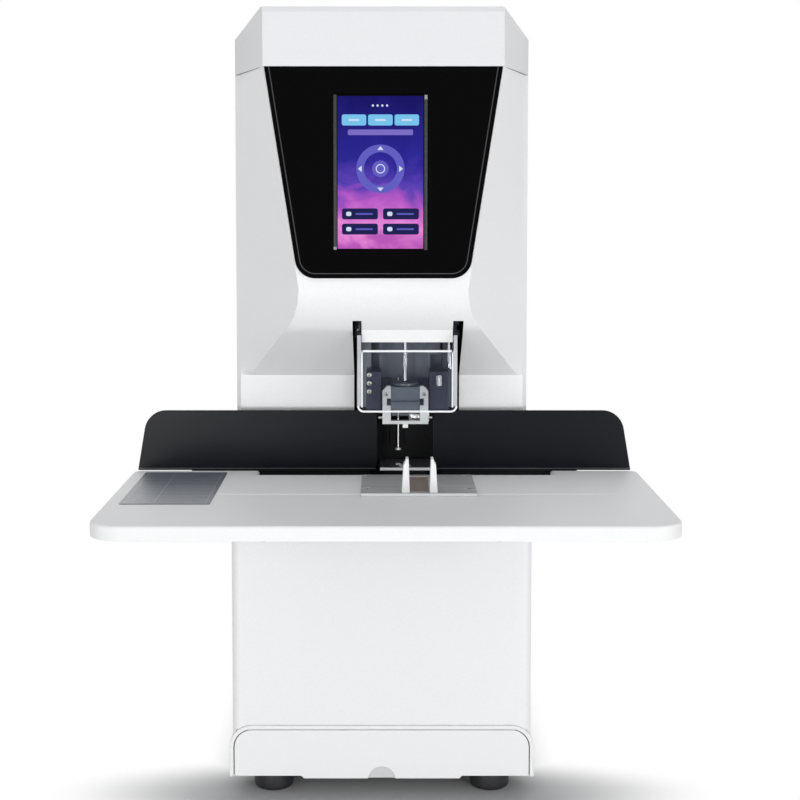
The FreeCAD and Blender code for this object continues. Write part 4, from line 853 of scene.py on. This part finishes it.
def build_drawer():
    """Drawer: its own tub behind a front with round corners, a skirt and a half-moon notch."""
    low, high = box_mm("waste_drawer")
    body, face_back = BODY_OF["waste_drawer"], low[1] + FACE_THICK

    def cut_front(work):
        bmesh.ops.bisect_plane(work, geom=work.verts[:] + work.edges[:] + work.faces[:],
                               plane_co=(0, face_back * MM, 0), plane_no=(0, 1, 0), clear_inner=True)

    mesh = nodes["waste_drawer"].data.copy()
    edit(mesh, weld, cut_front)
    tub = link("drawer_tub", mesh, "moulding", body)
    skirt, foot, centre = low[2], low[2] + SKIRT_DROP, low[2] - NOTCH_SINK
    reach = math.sqrt(NOTCH_RADIUS ** 2 - NOTCH_SINK ** 2)
    start = math.degrees(math.asin(NOTCH_SINK / NOTCH_RADIUS))

    def notch(radius, level):
        """The notch's round line, from its left end on a level to its right one."""
        return ([(-reach, level)] + arc(0, centre, radius, 180 - start, start, 24)[1:-1]
                + [(reach, level)])

    outline = (arch_outline(high[0], foot, high[2], FACE_CORNER)
               + [(-SKIRT_HALF - SKIRT_SLOPE, foot), (-SKIRT_HALF, skirt)] + notch(NOTCH_RADIUS, skirt)
               + [(SKIRT_HALF, skirt), (SKIRT_HALF + SKIRT_SLOPE, foot)])
    face = soft_plate("drawer_face", outline, low[1], face_back, "moulding", body, edge=0.35)
    # back wall of the finger notch, darker than the drawer as painted shade
    painted_notch_shade = soft_plate("drawer_recess", notch(NOTCH_RADIUS + 0.6, skirt + 0.2), face_back - 0.2,
                        face_back + 0.3, "painted_notch_shade", body, edge=0.1)
    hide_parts("waste_drawer")


# ---------- cap and seam
def seam_outline(node):
    """A node's outline on the level of the seam, in millimetres."""
    return flat_hull({(round(v.co.x / MM, 3), round(v.co.y / MM, 3))
                      for v in nodes[node].data.vertices if on_seam(v)})


def cut_off(work, spot, normal):
    """Takes away what lies beyond a plane and closes the cut."""
    found = bmesh.ops.bisect_plane(work, geom=work.verts[:] + work.edges[:] + work.faces[:],
                                   plane_co=spot, plane_no=normal, clear_outer=True)
    edges = [item for item in found["geom_cut"] if isinstance(item, bmesh.types.BMEdge)]
    bmesh.ops.edgeloop_fill(work, edges=edges)


def build_cap():
    """Hollow lid: flat side bevels, a narrow bevel over the front and a thin rim on the seam."""
    low, high = box_mm("top_cap")
    shoulder = low[2] + CAP_SHOULDER
    drop, back = CAP_FRONT_BEVEL

    def bevel(work):
        for side in (-1, 1):
            cut_off(work, (side * high[0] * MM, 0, shoulder * MM),
                    (side * (high[2] - shoulder), 0, high[0] - CAP_CROWN_HALF))
        cut_off(work, (0, low[1] * MM, (high[2] - drop) * MM), (0, -drop, back))

    def hollow(work):
        foot = [face for face in work.faces if all(on_seam(spot) for spot in face.verts)]
        bmesh.ops.delete(work, geom=foot, context="FACES_ONLY")
        outward(work)
        bmesh.ops.solidify(work, geom=work.faces[:], thickness=CAP_WALL * MM)

    piece = solid("bevelled_cap", plate(seam_outline("top_cap"), low[2], high[2], facing_up), "cap",
                  BODY_OF["top_cap"])
    edit(piece.data, bevel, hollow, outward, lambda work: round_but_seam(work, CAP_EDGE))
    even_normals(piece)
    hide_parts("top_cap")


def build_seam():
    """Shadow in the joint between the cap and the column."""
    outline = drawn_in(seam_outline("column_cover"), SEAM_EDGE * 0.7)
    level, half = SEAM_HEIGHT / MM, 0.3
    piece = solid("seam_shadow", plate(outline, level - half, level + half, facing_up), "seam", "frame")


# ---------- display panel
def panel_line(inset):
    """Left side, foot and right side of the display panel, drawn in by an inset."""
    low, high = box_mm("display_panel")
    centre, top_half = middle(low, high)[0], half_width(low, high)
    slope = (top_half - PANEL_LOW_HALF) / (high[2] - low[2])
    lean = math.atan(slope)
    half = top_half - inset / math.cos(lean)
    corner = PANEL_LOW_HALF + PANEL_CORNER * slope - PANEL_CORNER / math.cos(lean)
    right = arc(centre + corner, low[2] + PANEL_CORNER, PANEL_CORNER - inset, -90, -math.degrees(lean), 12)
    left = [(2 * centre - x, z) for x, z in reversed(right)]
    return [(centre - half, high[2])] + left + right + [(centre + half, high[2])]


def build_panel_bevel():
    """Fine raised bevel that runs round inside the edge of the black panel, in a lighter grey than the
    panel as painted highlight.
    """
    front, sunk, proud = box_mm("display_panel")[0][1], 0.05, 0.22
    rows = ((3.0, sunk), (3.3, -proud), (3.5, -proud), (3.9, sunk))
    lines = [[facing_front(x, z, front + depth) for x, z in panel_line(inset)] for inset, depth in rows]
    count = len(lines[0])
    faces = [(a + k, a + count + k, a + count + k + 1, a + k + 1)
             for a in (count * row for row in range(len(rows) - 1)) for k in range(count - 1)]
    piece = solid("panel_bevel_line", (sum(lines, []), faces), "panel_bevel_highlight", BODY_OF["display_panel"])


def build_strips():
    """Half-round bars beside the screen, each with a painted glint at one end."""
    steps, glint_inset, foot_glint_length, top_glint_length, glint_share = 10, 0.3, 2.4, 3.4, 0.7
    forms, glints = [], []
    for order, (low, high) in enumerate(islands("screen_strips")):
        cx, half = middle(low, high)[0], half_width(low, high)
        angles = [math.radians(180.0 * k / steps) for k in range(steps + 1)]
        section = [(cx + half * math.cos(angle), high[1] - (high[1] - low[1]) * math.sin(angle))
                   for angle in angles]
        points = [facing_up(x, y, z) for z in (low[2], high[2]) for x, y in section]
        count = len(section)
        faces = [(k, k + 1, count + k + 1, count + k) for k in range(count - 1)]
        faces += [tuple(range(count)), tuple(range(2 * count - 1, count - 1, -1))]
        forms.append((points, faces))
        # painted glint at the foot of the first strip and at the top of the second
        foot_glint = (low[2] + glint_inset, low[2] + foot_glint_length)
        top_glint = (high[2] - top_glint_length, high[2] - glint_inset)
        glints.append(((cx - half * glint_share, cx + half * glint_share), (low[1] - 0.06, low[1] + 0.3),
                     foot_glint if order == 0 else top_glint))
    body = BODY_OF["screen_strips"]
    piece = solid("round_strips", merge(forms), "strip", body)
    smooth_piece(piece)
    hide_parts("screen_strips")
    bars("strip_glints", glints, "painted_strip_glint", body)


# ---------- painted highlights on lit edges
def front_edge_highlight(name, node, box, inset, levels, paint):
    """A painted highlight line along the front of a box, drawn in at both ends."""
    low, high = box
    bars(name, [((low[0] + inset, high[0] - inset), (low[1] - PROUD, low[1] + 0.1), levels)], paint,
         BODY_OF[node])


def build_bright_edges():
    """Painted highlights on cut edges: front of the steel plate, front of the bed and foot of the fence.
    """
    low, high = box_mm("table_plate")
    # near-white lines on the steel plate's front and the bed's front: painted highlight
    front_edge_highlight("plate_edge_highlight", "table_plate", (low, high), 0.2, (low[2] + 0.2, high[2] - 0.15),
               "painted_edge_highlight")
    low, high = box_mm("bed_plate")
    front_edge_highlight("bed_edge_highlight", "bed_plate", (low, high), 0.3, (low[2] + 0.5, high[2] - 0.1),
               "painted_edge_highlight")
    # a lighter line along the foot of each fence half: painted highlight
    for number, (low, high) in enumerate(islands("back_fence")):
        front_edge_highlight("fence_foot_%d" % number, "back_fence", (low, high), 1.0,
                   (low[2] + 1.0, low[2] + 2.0), "fence_foot_highlight")


def guard_foot(low, high, inset):
    """The guard's lower edge and its two round corners, drawn in by an inset."""
    rise, radius = low[2] + GUARD_CORNER, GUARD_CORNER - inset
    return (arc(low[0] + GUARD_CORNER, rise, radius, 180, 270, 8)
            + arc(high[0] - GUARD_CORNER, rise, radius, 270, 360, 8))


def build_guard_edges():
    """Painted highlights where light is caught in the cut edges of the clear guard."""
    line, gap, rim, foot_rise, top_gap = 1.1, 0.2, 0.3, 4.0, 4.0
    low, high = box_mm("clear_guard")
    body, front, panel_top = BODY_OF["clear_guard"], low[1], low[2] + GUARD_PANEL
    left, right = low[0] + GUARD_WALL, high[0] - GUARD_WALL
    # pale bands on the side walls, a bright line round the foot and inner lines: painted highlights
    walls = [(across, (front - PROUD, front + 0.6), (low[2] + GUARD_CORNER, high[2] - top_gap))
             for across in ((low[0] + rim, left), (right, high[0] - rim))]
    bars("guard_side_edges", walls, "clear_edge_highlight", body)
    outer, inner = (guard_foot(low, high, inset) for inset in (0.2, 1.6))
    lip = soft_plate("guard_foot_edge", outer + inner[::-1], front - 0.06, front + 0.4, "painted_edge_highlight",
                     body, edge=0.1)
    depths, upright = (front - PROUD, front + 0.5), (low[2] + foot_rise, panel_top)
    lines = [((left + gap, left + gap + line), depths, upright),
             ((right - gap - line, right - gap), depths, upright),
             ((left, right), depths, (panel_top - 1.5, panel_top))]
    inner_highlights = bars("guard_inner_edges", lines, "painted_edge_highlight", body)


# ---------- screen and label
def screen_background(low, high):
    """Deep blue above, through violet to rose below, as soft drifting bands of light."""
    material = lit_glass("screen_glow", 0.08, 0.95)
    tree, drift = material.node_tree, 0.24
    place = add_node(tree, "ShaderNodeTexCoord").outputs["Object"]
    split = add_node(tree, "ShaderNodeSeparateXYZ")
    tree.links.new(place, split.inputs[0])
    level = add_node(tree, "ShaderNodeMapRange", {"From Min": low * MM, "From Max": high * MM})
    clouds = add_node(tree, "ShaderNodeTexNoise", {"Scale": 28.0, "Detail": 5.0, "Distortion": 1.4})
    spread = add_node(tree, "ShaderNodeMapRange", {"To Min": -drift, "To Max": drift})
    total = arithmetic(tree, "ADD", chain(tree, split.outputs["Z"], level),
                       chain(tree, place, clouds, spread))
    tree.links.new(chain(tree, total, colour_ramp(tree, *SCREEN_STOPS)),
                   principled(material).inputs["Emission Color"])
    return material


def build_screen():
    """Touch screen: soft background with plain generic controls, unlettered."""
    low, high = box_mm("touch_screen")
    left, foot, front = low[0], low[2], low[1]
    wide, tall = high[0] - low[0], high[2] - low[2]
    nodes["touch_screen"].data.materials.clear()
    nodes["touch_screen"].data.materials.append(screen_background(low[2], high[2]))
    # depths of the keys' backs, of their faces and of the faces of the marks on them
    base, lift, mark = front - 0.02, front - 0.14, front - 0.20
    groups = {"key_pale": [], "key_violet": [], "key_dark": [], "key_mid": [], "key_mark": []}

    def bar(key, x0, x1, y0, y1, radius, out=lift):
        """x as a share of the width, y as a share of the height from the top."""
        outline = rounded_outline(left + x0 * wide, left + x1 * wide, foot + (1 - y1) * tall,
                                  foot + (1 - y0) * tall, radius)
        groups[key].append(plate(outline, base, out, facing_front))

    # four dots, three pale keys and a violet line under them
    dot, dot_step = 0.025, 0.055
    for k in range(4):
        bar("key_mark", 0.40 + k * dot_step, 0.40 + dot + k * dot_step, 0.055, 0.069, 0.7)
    for x0, x1 in ((0.05, 0.335), (0.357, 0.643), (0.665, 0.95)):
        bar("key_pale", x0, x1, 0.12, 0.192, 1.5)
        bar("key_mark", x0 + 0.08, x1 - 0.08, 0.150, 0.162, 0.5, mark)
    bar("key_violet", 0.12, 0.88, 0.218, 0.255, 1.0)

    # a round control with four arrows
    centre = (left + 0.5 * wide, foot + (1 - 0.475) * tall)
    outer, inner, hub, tip, tail, barb = 17.5, 12.0, 6.0, 16.3, 13.6, 2.3

    def band(key, outside, inside, out, steps):
        rows = [(outside, base), (outside, out), (inside, out), (inside, base)]
        groups[key].append(lathe(rows, centre, facing_front, steps, bored=True))

    band("key_mid", outer, inner, lift, 48)
    groups["key_mid"].append(plate(arc(*centre, hub, 0, 360, 40)[:-1], base, lift, facing_front))
    band("key_mark", 3.4, 2.7, mark, 32)
    for turn in range(4):
        along = Vector((math.cos(math.pi / 2 * turn), math.sin(math.pi / 2 * turn)))
        aside = Vector((-along.y, along.x)) * barb
        arrow = (along * tip, along * tail + aside, along * tail - aside)
        groups["key_mark"].append(plate([tuple(Vector(centre) + spot) for spot in arrow], base, mark,
                                        facing_front))

    # four dark keys, each with a mark and a line
    for y0 in (0.735, 0.835):
        for x0, x1 in ((0.05, 0.47), (0.53, 0.95)):
            bar("key_dark", x0, x1, y0, y0 + 0.072, 1.6)
            bar("key_mark", x0 + 0.05, x0 + 0.11, y0 + 0.022, y0 + 0.050, 1.1, mark)
            bar("key_mid", x0 + 0.16, x1 - 0.06, y0 + 0.031, y0 + 0.042, 0.5, mark)
    for key, forms in groups.items():
        piece = solid("screen_" + key, merge(forms), key, BODY_OF["touch_screen"])


def build_label():
    """Dark plate on the table with a fine border and plain rules, left unlettered."""
    inset, width, rows, column, corner = 3.0, 0.35, 9, 0.36, 1.5
    face_drop, rule_depth, fine = 0.03, 0.04, 0.7
    low, high = box_mm("label_plate")
    body, top = BODY_OF["label_plate"], high[2]
    outline = rounded_outline(low[0], high[0], low[1], high[1], corner)
    face = solid("label_face", plate(outline, low[2], top - face_drop, facing_up), "label", body)
    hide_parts("label_plate")
    x0, x1, y0, y1 = low[0] + inset, high[0] - inset, low[1] + inset, high[1] - inset
    lines = [(x0, x1, y, y + width) for y in (y0, y1 - width)]
    lines += [(x, x + width, y0, y1) for x in (x0, x1 - width, x0 + (x1 - x0) * column)]
    levels = [y0 + (y1 - y0) * k / rows for k in range(1, rows)]
    lines += [(x0, x1, y, y + width * fine) for y in levels]
    forms = [plate(rectangle(*line), top - rule_depth, top, facing_up) for line in lines]
    solid("label_rules", merge(forms), "rule", body)


build_camera()
bpy.context.scene.view_settings.view_transform = "Standard"
build_world()
build_floor()
build_lamps()
paint_nodes()
for soft_node, edge_width in SOFT_EDGE.items():
    soften(soft_node, edge_width)
build_feet()
build_nozzle()
build_bit()
build_disc()
build_needle()
build_backing()
build_sensor_pin()
build_rim()
build_drawer()
build_cap()
build_seam()
build_panel_bevel()
build_strips()
build_bright_edges()
build_guard_edges()
screw_heads("rear_cover_screws", facing_front, 1)
screw_heads("plate_screws", facing_up, 1, "bright_steel_and_glint")
screw_heads("terminal_screws", facing_front, -1)
screw_heads("bracket_screws", facing_front, -1)
build_screen()
build_label()
